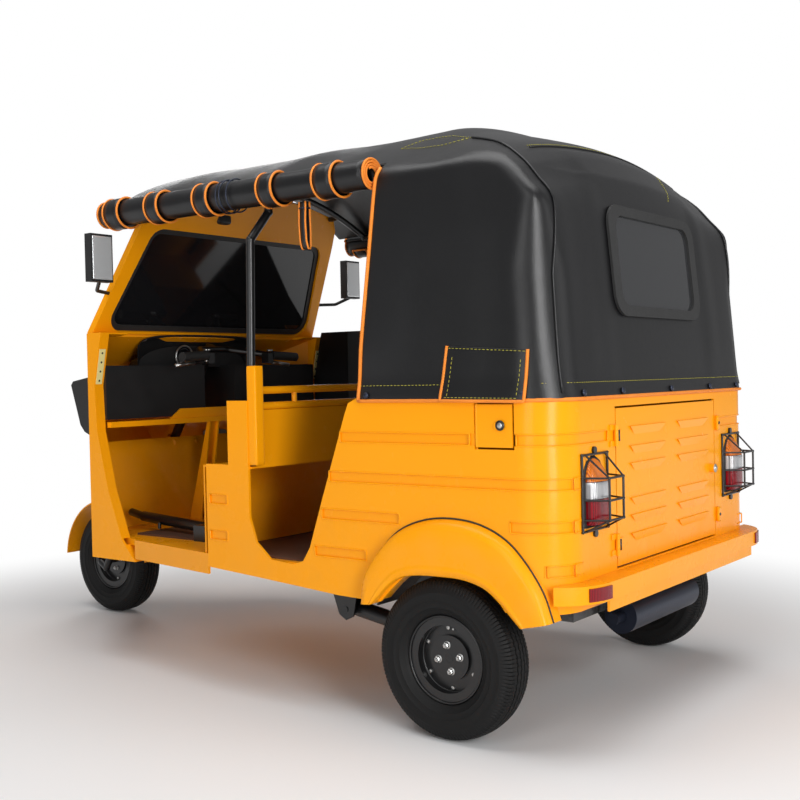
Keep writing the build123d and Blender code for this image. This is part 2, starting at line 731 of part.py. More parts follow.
def cowl_form(inset, lip):
    """Cowl as a solid: its side outline crossed with its wedge-shaped plan.

    inset moves the skin inward and lip carries the door edge back past the skin.
    """
    outline = [(y + lip, z) for y, z in edge_points[:-1]]
    outline += [
        (door_foot_y + lip, door_edge[-1][1] - lip),
        (toe_y + inset, toe_height - lip),
        (chin_y + inset, chin_height + inset / 2),
        (nose_y + inset, nose_height - inset / 2),
        (glass_foot_y, cowl_top - 1.2 * inset),
        (glass_foot_y + lip, cowl_top - 1.2 * inset),
    ]
    half = cowl_half_width - inset
    waist = nose_half_width - inset
    reach = fender_half_width
    with BuildPart() as form:
        slab(side(-reach), outline, 2 * reach)
        with BuildSketch(level(0)) as plan:
            with BuildLine() as rim_line:
                Line((half, rear_axle_y - 1100), (half, cowl_side_y))
                Line((half, cowl_side_y), (waist, cowl_waist_y))
                ThreePointArc((waist, cowl_waist_y), (0, nose_y + inset), (-waist, cowl_waist_y))
                Line((-waist, cowl_waist_y), (-half, cowl_side_y))
                Line((-half, cowl_side_y), (-half, rear_axle_y - 1100))
                Line((-half, rear_axle_y - 1100), (half, rear_axle_y - 1100))
            make_face(rim_line.edges())
        extrude(plan.sketch, amount=2 * hem_height, mode=Mode.INTERSECT)
    return form.part


tilt = radians(rake)
axis_foot = Vector(0, front_axle_y + axle_lead * cos(tilt), tyre_radius - axle_lead * sin(tilt))
axis_up = Vector(0, sin(tilt), cos(tilt))


def on_axis(travel):
    """Point on the steering axis, measured up from its foot beside the front axle."""
    return tuple(axis_foot + axis_up * travel)


cowl_outer = cowl_form(0, 0)
cowl_core = cowl_form(panel, 30)
well_reach = 125.0
lid_cut_half = 440.0        # room over the handlebar at full lock
with BuildPart() as front_cowl:
    add(cowl_outer)
    add(cowl_core, mode=Mode.SUBTRACT)
    rod(on_axis(0), on_axis(330), well_reach, mode=Mode.SUBTRACT)
    block((-lid_cut_half, lid_cut_half), (glass_foot_y + 3, edge_points[0][0] + 1),
          (cowl_top - 22, cowl_top + 1), mode=Mode.SUBTRACT)
save(front_cowl.part, "front_cowl")

# ---------------------------------------------------------------- windshield and front pillars
lean = radians(glass_lean)
glass_plane = Plane(origin=(0, glass_foot_y, glass_foot_height), x_dir=(1, 0, 0),
                    z_dir=(0, -cos(lean), sin(lean)))
glass_outline = (
    (-glass_half_low, 0),
    (glass_half_low, 0),
    (glass_half_high, glass_tall),
    (-glass_half_high, glass_tall),
)
frame_outline = (
    (-pillar_half_low, -18),
    (pillar_half_low, -18),
    (pillar_half_high, 385),
    (458, 445),
    (425, 490),
    (250, 522),
    (0, 536),
    (-250, 522),
    (-425, 490),
    (-458, 445),
    (-pillar_half_high, 385),
)
gasket_width = 20.0


def pane(inset, front, depth, mode=Mode.ADD):
    """Slab with the windshield's round-cornered outline, set in from the frame's opening."""
    plane = glass_plane.offset(front - depth)
    with BuildSketch(plane) as face:
        Polygon(*glass_outline, align=None)
        fillet(face.vertices(), glass_corner + gasket_width)
        if inset:
            offset(amount=-inset, mode=Mode.REPLACE)
    extrude(face.sketch, amount=depth, dir=plane.z_dir, mode=mode)


with BuildPart() as windshield_frame:
    slab(glass_plane.offset(-frame_thickness), frame_outline, frame_thickness)
    pane(0, 1, frame_thickness + 2, mode=Mode.SUBTRACT)
    add(cowl_outer, mode=Mode.SUBTRACT)
save(windshield_frame.part, "windshield_frame")
with BuildPart() as windshield_gasket:
    pane(seat_gap, 3, 18)
    pane(gasket_width, 4, 20, mode=Mode.SUBTRACT)
save(windshield_gasket.part, "windshield_gasket")
with BuildPart() as windshield_glass:
    pane(gasket_width + seat_gap, -5, glass_thickness)
save(windshield_glass.part, "windshield_glass")

flange = 27.0
strip_hole_radius = 3.5
strip_holes = (915.0, 945.0, 975.0, 1005.0)
front_points = [(y - flange, z) for y, z in reversed(edge_points)]
pillar_x = cowl_inner - seat_gap - flange
with BuildPart() as front_pillars:
    slab(side(pillar_x), edge_points + front_points, flange)
    for height in strip_holes:
        rod((pillar_x + flange / 2, rear_axle_y - 1500, height),
            (pillar_x + flange / 2, rear_axle_y - 1300, height), strip_hole_radius,
            mode=Mode.SUBTRACT)
    add(windshield_frame.part, mode=Mode.SUBTRACT)
    add(front_cowl.part, mode=Mode.SUBTRACT)
    block((0, fender_half_width), (rear_axle_y - 1500, rear_axle_y - 1000),
          (floor_top - floor_thickness, floor_top), mode=Mode.SUBTRACT)
    mirror(about=Plane.YZ)
save(front_pillars.part, "front_pillars")

with BuildPart() as door_sills:
    with BuildSketch(level(345)) as plan:
        Polygon((side_inner, sill_front_y), (body_half_width, sill_front_y),
                (cowl_half_width, door_foot_y), (cowl_inner, door_foot_y), align=None)
    extrude(plan.sketch, amount=floor_top - 345, dir=(0, 0, 1))
    mirror(about=Plane.YZ)
save(door_sills.part, "door_sills")

door_top = 1090.0
door_rear_y = rear_axle_y - 847.0
door_skin = 5.0
with BuildPart() as right_door:
    slab(side(-fender_half_width),
         [(y + seat_gap, z) for y, z in edge_points[:-1]]
         + [(door_foot_y - 64, floor_top), (door_rear_y, floor_top), (door_rear_y, door_top),
            (edge_points[0][0] + 6, door_top)], fender_half_width)
    with BuildSketch(level(floor_top)) as plan:
        outer = ((-cowl_inner, glass_foot_y), (-cowl_inner, door_foot_y),
                 (-side_inner, sill_front_y))
        Polygon(*outer, *[(x + door_skin, y) for x, y in reversed(outer)], align=None)
    extrude(plan.sketch, amount=door_top - floor_top, mode=Mode.INTERSECT)
save(right_door.part, "right_door")

toe_top_y = rear_axle_y - 1600.0
toe_top = 700.0
head_low = 340.0            # steering head, along the steering axis
head_high = 600.0
head_wall = 10.0
strut_radius = 11.0
with BuildPart() as toe_board:
    slope = Vector(0, toe_top_y - toe_foot_y, toe_top - floor_top)
    toe_plane = Plane(origin=(0, toe_foot_y, floor_top), x_dir=(1, 0, 0),
                      z_dir=Vector(1, 0, 0).cross(slope))
    slab(toe_plane, ((-toe_half, 0), (toe_half, 0), (400, slope.length), (-400, slope.length)), 6)
    for sign in (1, -1):
        rod(on_axis(head_low + 20), (sign * 150, rail_front_y + 10, rail_low + 25), strut_radius)
        rod(on_axis(head_high - 20), (sign * 60, toe_top_y + 4, toe_top - 20), strut_radius)
    rod(on_axis(head_low), on_axis(head_high), column_radius + head_wall)
    rod(on_axis(head_low - 1), on_axis(head_high + 1), column_radius + axle_clearance,
        mode=Mode.SUBTRACT)
    add(chassis_frame.part, mode=Mode.SUBTRACT)
save(toe_board.part, "toe_board")

# ---------------------------------------------------------------- lamps in front
headlamp_half = 95.0
with BuildPart() as headlamp:
    slab(side(-headlamp_half),
         ((rear_axle_y - 1880, 945), (rear_axle_y - 1984, 938), (rear_axle_y - 2135, 915),
          (rear_axle_y - 2148, 900), (rear_axle_y - 2095, 742), (rear_axle_y - 2070, 715),
          (rear_axle_y - 1995, 684), (rear_axle_y - 1880, 640)), 2 * headlamp_half)
    add(cowl_outer, mode=Mode.SUBTRACT)
save(headlamp.part, "headlamp_housing")
face_top = Vector(0, rear_axle_y - 2148, 900)
face_foot = Vector(0, rear_axle_y - 2095, 742)
lens_plane = Plane(origin=(face_top + face_foot) / 2, x_dir=(1, 0, 0),
                   z_dir=Vector(1, 0, 0).cross(face_top - face_foot))
with BuildPart() as headlamp_lens:
    with BuildSketch(lens_plane):
        Circle(74)
    extrude(amount=7)
save(headlamp_lens.part, "headlamp_lens")

# ---------------------------------------------------------------- steering
clamp_travel = 986.0
crown_travel = 268.0
axle_centre = Vector(0, front_axle_y, tyre_radius)
with BuildPart() as steering_fork:
    rod(on_axis(crown_travel - 12), on_axis(clamp_travel - 20), column_radius)
    crown = Plane(origin=on_axis(crown_travel - 45), x_dir=(1, 0, 0), z_dir=axis_up)
    with BuildSketch(crown):
        Rectangle(2 * (fork_half + fork_leg_radius + 4), 44)
    extrude(amount=45)
    with BuildSketch(side(-fender_half_width)):
        with Locations((front_axle_y, tyre_radius)):
            Circle(mudguard_radius + seat_gap)
    extrude(amount=2 * fender_half_width, mode=Mode.SUBTRACT)
    for sign in (1, -1):
        shift = Vector(sign * fork_half, 0, 0)
        rods((tuple(Vector(*on_axis(crown_travel - 10)) + shift),
              tuple(Vector(*on_axis(0)) + shift), tuple(axle_centre + shift)), fork_leg_radius)
        ball(tuple(axle_centre + shift), fork_leg_radius)
    rod((-fork_half, front_axle_y, tyre_radius), (fork_half, front_axle_y, tyre_radius), axle_radius)
save(steering_fork.part, "steering_fork")

with BuildPart() as front_mudguard:
    with BuildSketch(side(-mudguard_half)):
        with Locations((front_axle_y, tyre_radius)):
            Circle(mudguard_radius)
            Circle(mudguard_radius - mudguard_skin, mode=Mode.SUBTRACT)
        with Locations((front_axle_y, tyre_radius - mudguard_radius)):
            Rectangle(3 * mudguard_radius, 2 * mudguard_radius + 30, mode=Mode.SUBTRACT)
    extrude(amount=2 * mudguard_half)
save(front_mudguard.part, "front_mudguard")

bar_radius = 11.0
lever_radius = 5.0
clamp = Vector(*on_axis(clamp_travel))
bar_ends = [(sign * (grip_inner + 10), grip_y - 8, grip_height + 6) for sign in (1, -1)]
bar_bends = [(sign * 70, clamp.Y + 14, clamp.Z) for sign in (1, -1)]
with BuildPart() as handlebar:
    rod(on_axis(clamp_travel - 20), on_axis(clamp_travel + 14), 22)
    tube((bar_ends[0], bar_bends[0], bar_bends[1], bar_ends[1]), bar_radius, 40)
    for sign in (1, -1):
        block(sorted((sign * (grip_inner - 30), sign * (grip_inner - 4))),
              (grip_y - 34, grip_y), (grip_height - 22, grip_height + 14))
        tube(((sign * (grip_inner - 16), grip_y - 26, grip_height - 14),
              (sign * (grip_inner + 14), grip_y - 40, grip_height - 18),
              (sign * (grip_outer - 8), grip_y - 36, grip_height - 28)), lever_radius, 12)
save(handlebar.part, "handlebar")
with BuildPart() as handlebar_grips:
    for sign in (1, -1):
        rod((sign * grip_inner, grip_y - 8, grip_height + 6), (sign * grip_outer, grip_y, grip_height),
            grip_radius)
    add(handlebar.part, mode=Mode.SUBTRACT)
save(handlebar_grips.part, "handlebar_grips")

# ---------------------------------------------------------------- inside the cab
dash_low = 786.0
dash_high = 964.0
dash_rear_y = rear_axle_y - 1402.0
column_slot = 75.0
dash_half = pillar_x - seat_gap
with BuildPart() as dashboard:
    with BuildSketch(level(dash_low)) as plan:
        Polygon((-dash_half, dash_rear_y), (dash_half, dash_rear_y),
                (dash_half, rear_axle_y - 1432), (375, rear_axle_y - 1618),
                (-375, rear_axle_y - 1618), (-dash_half, rear_axle_y - 1432), align=None)
    extrude(plan.sketch, amount=dash_high - dash_low, dir=(0, 0, 1))
    slab(side(-200), ((rear_axle_y - 1484, dash_high), (rear_axle_y - 1484, 1016),
                      (rear_axle_y - 1500, 1024), (rear_axle_y - 1590, 968),
                      (rear_axle_y - 1590, dash_high)), 400)
    block((-column_slot, column_slot), (rear_axle_y - 1560, dash_rear_y), (dash_low, 1100),
          mode=Mode.SUBTRACT)
    block((-column_slot, column_slot), (rear_axle_y - 1700, dash_rear_y), (dash_low, 900),
          mode=Mode.SUBTRACT)
save(dashboard.part, "dashboard")

bar_height = 760.0
with BuildPart() as dash_rail:
    block((-pillar_x, pillar_x), (dash_rear_y + 2, dash_rear_y + 20), (bar_height, bar_height + 18))
    slab(cross(dash_rear_y + 4), ((-250, bar_height + 18), (250, bar_height + 18), (200, 812),
                                  (-200, 812)), 5)
    slab(side(24), ((dash_rear_y + 4, bar_height), (dash_rear_y + 18, bar_height),
                    (rear_axle_y - 1440, floor_top), (rear_axle_y - 1500, floor_top)), 6)
    slab(side(66), ((dash_rear_y + 4, bar_height), (dash_rear_y + 18, bar_height),
                    (rear_axle_y - 1440, floor_top), (rear_axle_y - 1500, floor_top)), 6)
    slab(side(30), ((dash_rear_y + 4, bar_height), (dash_rear_y + 10, bar_height),
                    (rear_axle_y - 1494, floor_top), (rear_axle_y - 1500, floor_top)), 36)
save(dash_rail.part, "dash_rail")

with BuildPart() as floor_controls:
    block((330, 470), (rear_axle_y - 1050, rear_axle_y - 1000), (floor_top, floor_top + 50))
    rods(((400, rear_axle_y - 1025, floor_top + 30), (372, rear_axle_y - 1400, 452)), 17)
    rod((372, rear_axle_y - 1400, 452), (366, rear_axle_y - 1470, 462), 13)
    rod((400, rear_axle_y - 1290, 440), (400, rear_axle_y - 1290, 420), 6)
    rods(((-110, rear_axle_y - 1490, floor_top + 8), (-110, rear_axle_y - 1470, 520)), 8)
    block((-150, -70), (rear_axle_y - 1484, rear_axle_y - 1470), (500, 560))
    block((-130, -90), (rear_axle_y - 1506, rear_axle_y - 1470), (floor_top, floor_top + 12))
save(floor_controls.part, "floor_controls")

# ---------------------------------------------------------------- hood frame
roof_circle = (roof_edge_half ** 2 + (roof_crown - roof_edge_height) ** 2) / (
    2 * (roof_crown - roof_edge_height))
hoop_inset = hood_skin + seat_gap + tube_radius + weld_bead
hoop_foot = roof_crown - roof_circle + sqrt((roof_circle - hoop_inset) ** 2 - side_rail_x ** 2)
hood_profile = (            # station, height of the crown along the centre plane
    (roof_front_y, roof_front_height),
    (roof_rear_y, roof_crown),
    (shoulder_y, shoulder_height),
    (fold_y, fold_height),
)


def crown_height(station):
    """Height of the hood's outer crown at a station."""
    for (y_a, z_a), (y_b, z_b) in zip(hood_profile, hood_profile[1:]):
        if y_a <= station <= y_b:
            return z_a + (z_b - z_a) * (station - y_a) / (y_b - y_a)
    return fold_height


def hoop(station):
    """Bent tube across the cab just under the hood, from rail to rail."""
    crown = crown_height(station) - hoop_inset - 6
    with BuildLine() as path:
        ThreePointArc((-side_rail_x, station, hoop_foot), (0, station, crown),
                      (side_rail_x, station, hoop_foot))
    start = Plane(origin=path.line @ 0, z_dir=path.line % 0)
    with BuildSketch(start) as face:
        Circle(tube_radius - weld_bead)
    sweep(face.sketch, path=path.line)


post_head_y = rear_axle_y - 626.0
hoop_stations = (rear_axle_y - 1150.0, post_head_y, rear_axle_y - 150.0, rear_axle_y + 110.0)
rear_post_x = 583.0
with BuildPart() as roof_frame:
    rod((side_rail_x, hoop_stations[0], hoop_foot), (side_rail_x, hoop_stations[-1], hoop_foot),
        tube_radius)
    for station in hoop_stations:
        ball((side_rail_x, station, hoop_foot), tube_radius + weld_bead)
    rods(((post_x, post_y, 700), (post_x, rear_axle_y - 646, 1302),
          (side_rail_x - 10, rear_axle_y - 632, 1385),
          (side_rail_x - 10, post_head_y, hoop_foot)), tube_radius, weld_bead)
    rods(((rear_post_x, hoop_stations[-1], hem_height), (rear_post_x, hoop_stations[-1], 1370),
          (side_rail_x, hoop_stations[-1], hoop_foot)), tube_radius, weld_bead)
    mirror(about=Plane.YZ)
    for station in hoop_stations:
        hoop(station)
    for sign in (1, -1):
        rod((sign * 400, hoop_stations[0], 1513), (sign * 400, rear_axle_y - 1200, 1513), 9)
    add(windshield_frame.part, mode=Mode.SUBTRACT)
    block((-fender_half_width, fender_half_width), (rear_axle_y - 1400, rear_axle_y - 1240),
          (1400, 1600), mode=Mode.SUBTRACT)
save(roof_frame.part, "roof_frame")

# ---------------------------------------------------------------- hood
def hood_form(inset, front_y):
    """Hood as a solid: its side, front and plan outlines crossed."""
    reach = fender_half_width
    half_low = body_half_width - inset
    half_top = hood_half_top - inset
    circle = roof_circle - inset
    shoulder_z = roof_crown - roof_circle + sqrt(circle ** 2 - half_top ** 2)
    low = hem_height + seat_gap - inset
    with BuildPart() as form:
        slab(side(-reach),
             ((front_y, low), (body_rear_y - inset, low), (fold_y - inset, fold_height),
              (shoulder_y - 0.8 * inset, shoulder_height - 0.8 * inset),
              (roof_rear_y, roof_crown - inset), (roof_front_y, roof_front_height - inset),
              (front_y, roof_front_height - inset)), 2 * reach)
        with BuildSketch(cross(front_y)) as front:
            with BuildLine() as rim_line:
                Line((-half_low, low), (half_low, low))
                Line((half_low, low), (half_top, shoulder_z))
                ThreePointArc((half_top, shoulder_z), (0, roof_crown - inset),
                              (-half_top, shoulder_z))
                Line((-half_top, shoulder_z), (-half_low, low))
            make_face(rim_line.edges())
        extrude(front.sketch, amount=body_rear_y - front_y, dir=(0, 1, 0), mode=Mode.INTERSECT)
        add(body_prism(inset, front_y, low - 1, roof_crown + 1), mode=Mode.INTERSECT)
    return form.part


hood_outer = hood_form(0, roof_front_y)
hood_core = hood_form(hood_skin, roof_front_y - 20)
wall_lean = atan2(body_rear_y - fold_y, fold_height - hem_height)
window_height = 1197.0
window_plane = Plane(
    origin=(0, body_rear_y - (window_height - hem_height) * tan(wall_lean), window_height),
    x_dir=(-1, 0, 0), z_dir=(0, cos(wall_lean), sin(wall_lean)))
window_wide = 500.0
window_tall = 266.0
with BuildPart() as canopy:
    add(hood_outer)
    add(hood_core, mode=Mode.SUBTRACT)
    slab(side(-fender_half_width),
         ((roof_front_y - 30, hem_height - 20), (hood_front_low_y, hem_height - 20),
          (hood_front_low_y, hem_height), (hood_front_top_y, 1440),
          (hood_front_top_y, roof_edge_height), (roof_front_y - 30, roof_edge_height)),
         2 * fender_half_width, mode=Mode.SUBTRACT)
    with BuildSketch(window_plane.offset(-30)) as cut:
        RectangleRounded(window_wide, window_tall, 50)
    extrude(cut.sketch, amount=60, dir=window_plane.z_dir, mode=Mode.SUBTRACT)
save(canopy.part, "canopy")
with BuildPart() as rear_window_gasket:
    with BuildSketch(window_plane.offset(seat_gap)):
        RectangleRounded(window_wide + 50, window_tall + 24, 58)
        RectangleRounded(window_wide - 30, window_tall - 30, 40, mode=Mode.SUBTRACT)
    extrude(amount=7)
save(rear_window_gasket.part, "rear_window_gasket")
with BuildPart() as rear_window_glass:
    with BuildSketch(window_plane.offset(seat_gap)):
        RectangleRounded(window_wide - 4, window_tall - 4, 48)
    extrude(amount=-5)
save(rear_window_glass.part, "rear_window_glass")

roll_drop = 20.0
roll_height = hoop_foot - roll_drop
roll_x = side_rail_x + sqrt(
    (tube_radius + weld_bead + seat_gap + roll_radius) ** 2 - roll_drop ** 2)
with BuildPart() as curtain_rolls:
    rod((roll_x, roll_front_y, roll_height), (roll_x, hood_front_top_y - 12, roll_height),
        roll_radius)
    mirror(about=Plane.YZ)
save(curtain_rolls.part, "curtain_rolls")

# ---------------------------------------------------------------- mirrors and wiper
mirror_x = 621.0
mirror_y = rear_axle_y - 1286.0
mirror_height = 1300.0
with BuildPart() as mirrors:
    block((mirror_x - 42, mirror_x + 42), (mirror_y - 15, mirror_y + 15),
          (mirror_height - 75, mirror_height + 75))
    tube(((512, rear_axle_y - 1376, 1200), (590, rear_axle_y - 1340, 1203),
          (mirror_x, mirror_y, mirror_height - 70)), 6, 20)
    add(windshield_frame.part, mode=Mode.SUBTRACT)
    mirror(about=Plane.YZ)
save(mirrors.part, "mirrors")
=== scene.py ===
# %% [markdown]
# # An auto rickshaw, dressed
#
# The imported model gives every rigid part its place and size. This lesson adds enamel,
# stretched vinyl, sewn edges, tyre tread and lamp glass. Lengths are metres, +X is the
# vehicle's left, +Y its rear and the ground is Z = 0.

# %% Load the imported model
import math

import bpy
import numpy as np
from mathutils import Matrix, Vector, noise


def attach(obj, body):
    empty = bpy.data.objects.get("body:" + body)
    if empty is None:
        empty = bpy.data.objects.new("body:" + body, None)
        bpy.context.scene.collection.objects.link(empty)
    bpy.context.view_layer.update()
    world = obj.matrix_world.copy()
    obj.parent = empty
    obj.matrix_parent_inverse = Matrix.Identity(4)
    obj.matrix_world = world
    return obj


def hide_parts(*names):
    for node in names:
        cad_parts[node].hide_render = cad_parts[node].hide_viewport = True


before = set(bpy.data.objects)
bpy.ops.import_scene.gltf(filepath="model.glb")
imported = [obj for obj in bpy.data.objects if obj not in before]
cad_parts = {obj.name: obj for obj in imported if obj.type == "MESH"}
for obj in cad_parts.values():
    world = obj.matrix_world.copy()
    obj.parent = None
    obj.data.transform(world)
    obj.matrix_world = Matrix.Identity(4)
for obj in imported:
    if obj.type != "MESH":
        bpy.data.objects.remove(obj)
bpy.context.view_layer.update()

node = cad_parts

# %% [markdown]
# ## Camera
#
# It stands at bumper height behind the rear left corner, as for a sales view of a vehicle.

# %% Camera
def put(name, data):
    """A new object in the scene that shows data."""
    made = bpy.data.objects.new(name, data)
    bpy.context.collection.objects.link(made)
    return made


view = bpy.data.cameras.new("view")
view.lens, view.sensor_width, view.clip_end = 50.42, 36.0, 60.0
camera = put("view", view)
right, up, forward = (Vector(v) for v in (
    (-0.599814, 0.799868, -0.020859), (-0.030372, 0.003291, 0.999533),
    (-0.799563, -0.600167, -0.022319)))
camera.matrix_world = Matrix.Translation((2.88354, 2.50401, 0.91351)) @ Matrix(
    (right, up, -forward)).transposed().to_4x4()
bpy.context.scene.camera = camera
print("camera looks along", [round(v, 3) for v in forward])

# %% [markdown]
# ## Arithmetic on shader sockets
#
# Blender's node trees are formulas drawn as boxes. One small class holds a socket and turns
# +, - and * into Math nodes, so that they read as sums. Colours don't go through Math, which
# would turn them grey: `mix` blends them.


# %% A socket that takes part in sums
class Wire:
    """An output socket of a material's tree that takes part in sums."""

    def __init__(self, tree, socket):
        self.tree, self.socket = tree, socket

    def add(self, kind, settings=None, out=0, **links):
        return add_node(self.tree, kind, settings, out, **links)

    def __add__(self, other):
        return self.add("Math", {"operation": "ADD"}, _0=self, _1=other)

    def __radd__(self, other):
        return self + other

    def __rsub__(self, other):
        return self.add("Math", {"operation": "SUBTRACT"}, _0=other, _1=self)

    def __mul__(self, other):
        return self.add("Math", {"operation": "MULTIPLY"}, _0=self, _1=other)

    def smooth(self, low, high):
        """0 below low, 1 above high and a smooth step between."""
        return self.add("MapRange", {"interpolation_type": "SMOOTHSTEP"}, Value=self,
                        From_Min=low, From_Max=high)

    def mix(self, dark, light):
        """The colour between dark and light that this mask picks."""
        return self.add("Mix", {"data_type": "RGBA"}, out=2, _0=self, _6=dark, _7=light)


def plug(tree, target, value):
    """Links a wire to a socket, or writes a plain value on it."""
    if isinstance(value, Wire):
        tree.links.new(value.socket, target)
    elif isinstance(value, tuple) and len(target.default_value) == 4:
        target.default_value = (*value, 1.0)
    else:
        target.default_value = value


def add_node(tree, kind, settings=None, out=0, **links):
    """A node of any kind. Sockets are named, with _ for a space, or numbered: _0, _1."""
    made = tree.nodes.new("ShaderNode" + kind)
    for key, value in (settings or {}).items():
        setattr(made, key, value)
    for key, value in links.items():
        name = key[1:] if key[0] == "_" else key.replace("_", " ")
        plug(tree, made.inputs[int(name) if name.isdigit() else name], value)
    return Wire(tree, made.outputs[out])


# %% [markdown]
# ## Finishes
#
# Each finish is one Principled shader. `finish` is a decorator that takes the shader's plain
# values, and the recipe under it returns what changes over the surface. One recipe can serve
# several materials, each with its name and colours. Grains are sized in metres.

# %% The helper for every finish
finishes = {}


def finish(name="", *colours, **sockets):
    """Makes a Principled material, named after the recipe under it unless name is given."""
    def make(recipe):
        made = finishes[name or recipe.__name__] = bpy.data.materials.new(
            name or recipe.__name__)
        made.use_nodes = True
        tree = made.node_tree
        place = add_node(tree, "TexCoord", out=3)
        for key, value in {**sockets, **recipe(place, *colours)}.items():
            plug(tree, tree.nodes["Principled BSDF"].inputs[key.replace("_", " ")], value)
        return recipe

    return make


def look(mask, dark, light, rough, depth, relief):
    """A colour that a mask picks, a roughness, and a bump with its depth in metres."""
    return {"Base_Color": mask.mix(dark, light), "Roughness": rough,
            "Normal": relief.add("Bump", Strength=1.0, Distance=depth, Height=relief)}


def grain(place, size, detail, rough=0.5):
    """Cloudy noise, 0 to 1, whose blobs are about size metres across."""
    return place.add("TexNoise", Vector=place, Scale=1.0 / size, Detail=detail,
                     Roughness=rough)


def pebbles(place, size):
    """Distance to the nearest of many scattered points, size metres apart."""
    return place.add("TexVoronoi", Vector=place, Scale=1.0 / size)


def bands(place, scale, direction="X", **links):
    """Regular waves along one direction."""
    return place.add("TexWave", {"bands_direction": direction}, Vector=place, Scale=scale,
                     **links)


# %% [markdown]
# ### Enamel
#
# The body is sprayed a warm orange-yellow, never quite even: the coat has a faint orange
# peel, and the lower panels carry a little dust. The frame's black enamel is chipped.


# %% Enamel
@finish(Specular_IOR_Level=0.15, Coat_Weight=0.06, Coat_Roughness=0.08)
def enamel(place):
    height = place.add("SeparateXYZ", out=2, Vector=place)
    dust = (1.0 - height.smooth(0.3, 0.75)) * grain(place, 0.11, 5.0, 0.6).smooth(0.4, 0.75)
    tint = grain(place, 0.6, 2.0).mix((0.93, 0.335, 0.0025), (0.97, 0.375, 0.0035))
    return look(dust * 0.08, tint, (0.62, 0.42, 0.16),
                0.22 + grain(place, 0.05, 4.0) * 0.08 + dust * 0.22,
                0.00012, grain(place, 0.004, 1.0) + grain(place, 0.03, 1.0) * 1.5)


@finish(Coat_Weight=0.15, Coat_Roughness=0.2)
def black_enamel(place):
    chips = grain(place, 0.012, 6.0, 0.7).smooth(0.66, 0.74)
    return look(chips, (0.005, 0.005, 0.0055), (0.025, 0.023, 0.02),
                0.26 + grain(place, 0.03, 4.0) * 0.16, 0.0002, grain(place, 0.005, 1.0))


print(len(finishes), "paint finishes")

# %% [markdown]
# ### Vinyl, tape and thread
#
# Hood and seats are cloth with a pressed vinyl face. The hood's leather grain is so fine that
# it only breaks up the highlights. The seats' is coarser and duller.


# %% Vinyl
@finish(Specular_IOR_Level=0.44)
def hood_vinyl(place):
    slow = grain(place, 0.22, 3.0)
    return look(slow, (0.0025, 0.0025, 0.003), (0.0055, 0.0055, 0.0062),
                0.26 + slow * 0.1 + grain(place, 0.012, 3.0) * 0.05,
                0.00016, pebbles(place, 0.0016) + grain(place, 0.02, 3.0) * 1.6)


@finish(Sheen_Weight=0.05)
def seat_vinyl(place):
    slow = grain(place, 0.09, 4.0)
    return look(slow, (0.01, 0.01, 0.0105), (0.022, 0.021, 0.021), 0.42 + slow * 0.16,
                0.0004, pebbles(place, 0.003) + grain(place, 0.025, 2.0))


@finish()
def orange_binding(place):
    return look(grain(place, 0.03, 3.0), (0.8, 0.21, 0.012), (0.95, 0.29, 0.02), 0.55,
                0.0004, bands(place, 280.0, "DIAGONAL", Distortion=0.6, Detail=1.0))


@finish()
def seam_thread(place):
    twist = bands(place, 500.0, "DIAGONAL")
    return look(twist, (0.3, 0.26, 0.015), (0.55, 0.5, 0.05), 0.6, 0.0003, twist)


print(len(finishes), "finishes with the cloth")

# %% [markdown]
# ### Rubber, moulded plastic and bare metal
#
# Tyre rubber is a dusty dark grey, never black. Moulded plastic has an etched pebble that
# scatters its highlight. Zinc is scratched, and cast alloy keeps the sand of its mould.


# %% Rubber and plastic
@finish(Specular_IOR_Level=0.25)
def tyre_rubber(place):
    road = grain(place, 0.02, 5.0, 0.65)
    return look(road, (0.002, 0.002, 0.0023), (0.007, 0.0069, 0.0067), 0.5 + road * 0.2,
                0.0004, grain(place, 0.002, 3.0))


@finish()
def seal_rubber(place):
    return look(grain(place, 0.04, 3.0), (0.01, 0.01, 0.01), (0.02, 0.02, 0.02),
                0.5 + grain(place, 0.01, 3.0) * 0.2, 0.0002, grain(place, 0.002, 2.0))


@finish()
def mat_rubber(place):
    worn = grain(place, 0.12, 5.0, 0.6)
    return look(worn, (0.055, 0.021, 0.012), (0.115, 0.05, 0.028), 0.55 + worn * 0.2,
                0.0015, bands(place, 26.0) + grain(place, 0.004, 2.0) * 0.2)


@finish()
def grained_plastic(place):
    scuff = grain(place, 0.05, 6.0, 0.65)
    return look(scuff, (0.005, 0.005, 0.0055), (0.012, 0.012, 0.0125), 0.4 + scuff * 0.18,
                0.0003, pebbles(place, 0.0018) + scuff)


@finish("milky_plastic", (0.3, 0.3, 0.29))
@finish("pale_plate", (0.82, 0.72, 0.3))
def plain(_, colour):
    return {"Base_Color": colour, "Roughness": 0.4}


# %% Metals
@finish(Metallic=1.0)
def bright_zinc(place):
    streak = place.add("Mapping", Vector=place, Scale=(1.0, 1.0, 0.04))
    line = grain(streak, 0.0012, 3.0)
    return look(grain(place, 0.05, 4.0), (0.42, 0.42, 0.42), (0.6, 0.6, 0.58),
                0.22 + line * 0.25, 0.00015, line)


@finish(Metallic=0.7)
def cast_alloy(place):
    oil = grain(place, 0.06, 6.0, 0.7).smooth(0.45, 0.7)
    return look(oil, (0.2, 0.2, 0.2), (0.035, 0.03, 0.025),
                0.45 + grain(place, 0.01, 3.0) * 0.25, 0.0008, grain(place, 0.003, 3.0))


@finish(Metallic=0.8)
def blued_steel(place):
    heat = grain(place, 0.15, 4.0)
    return look(heat, (0.02, 0.026, 0.045), (0.05, 0.056, 0.08), 0.3 + heat * 0.2,
                0.0003, grain(place, 0.006, 3.0))


# %% [markdown]
# ### Glass and lamp lenses
#
# Window glass is a dark tint that lets a little light through. Lamp lenses are pressed with
# regular ribs.


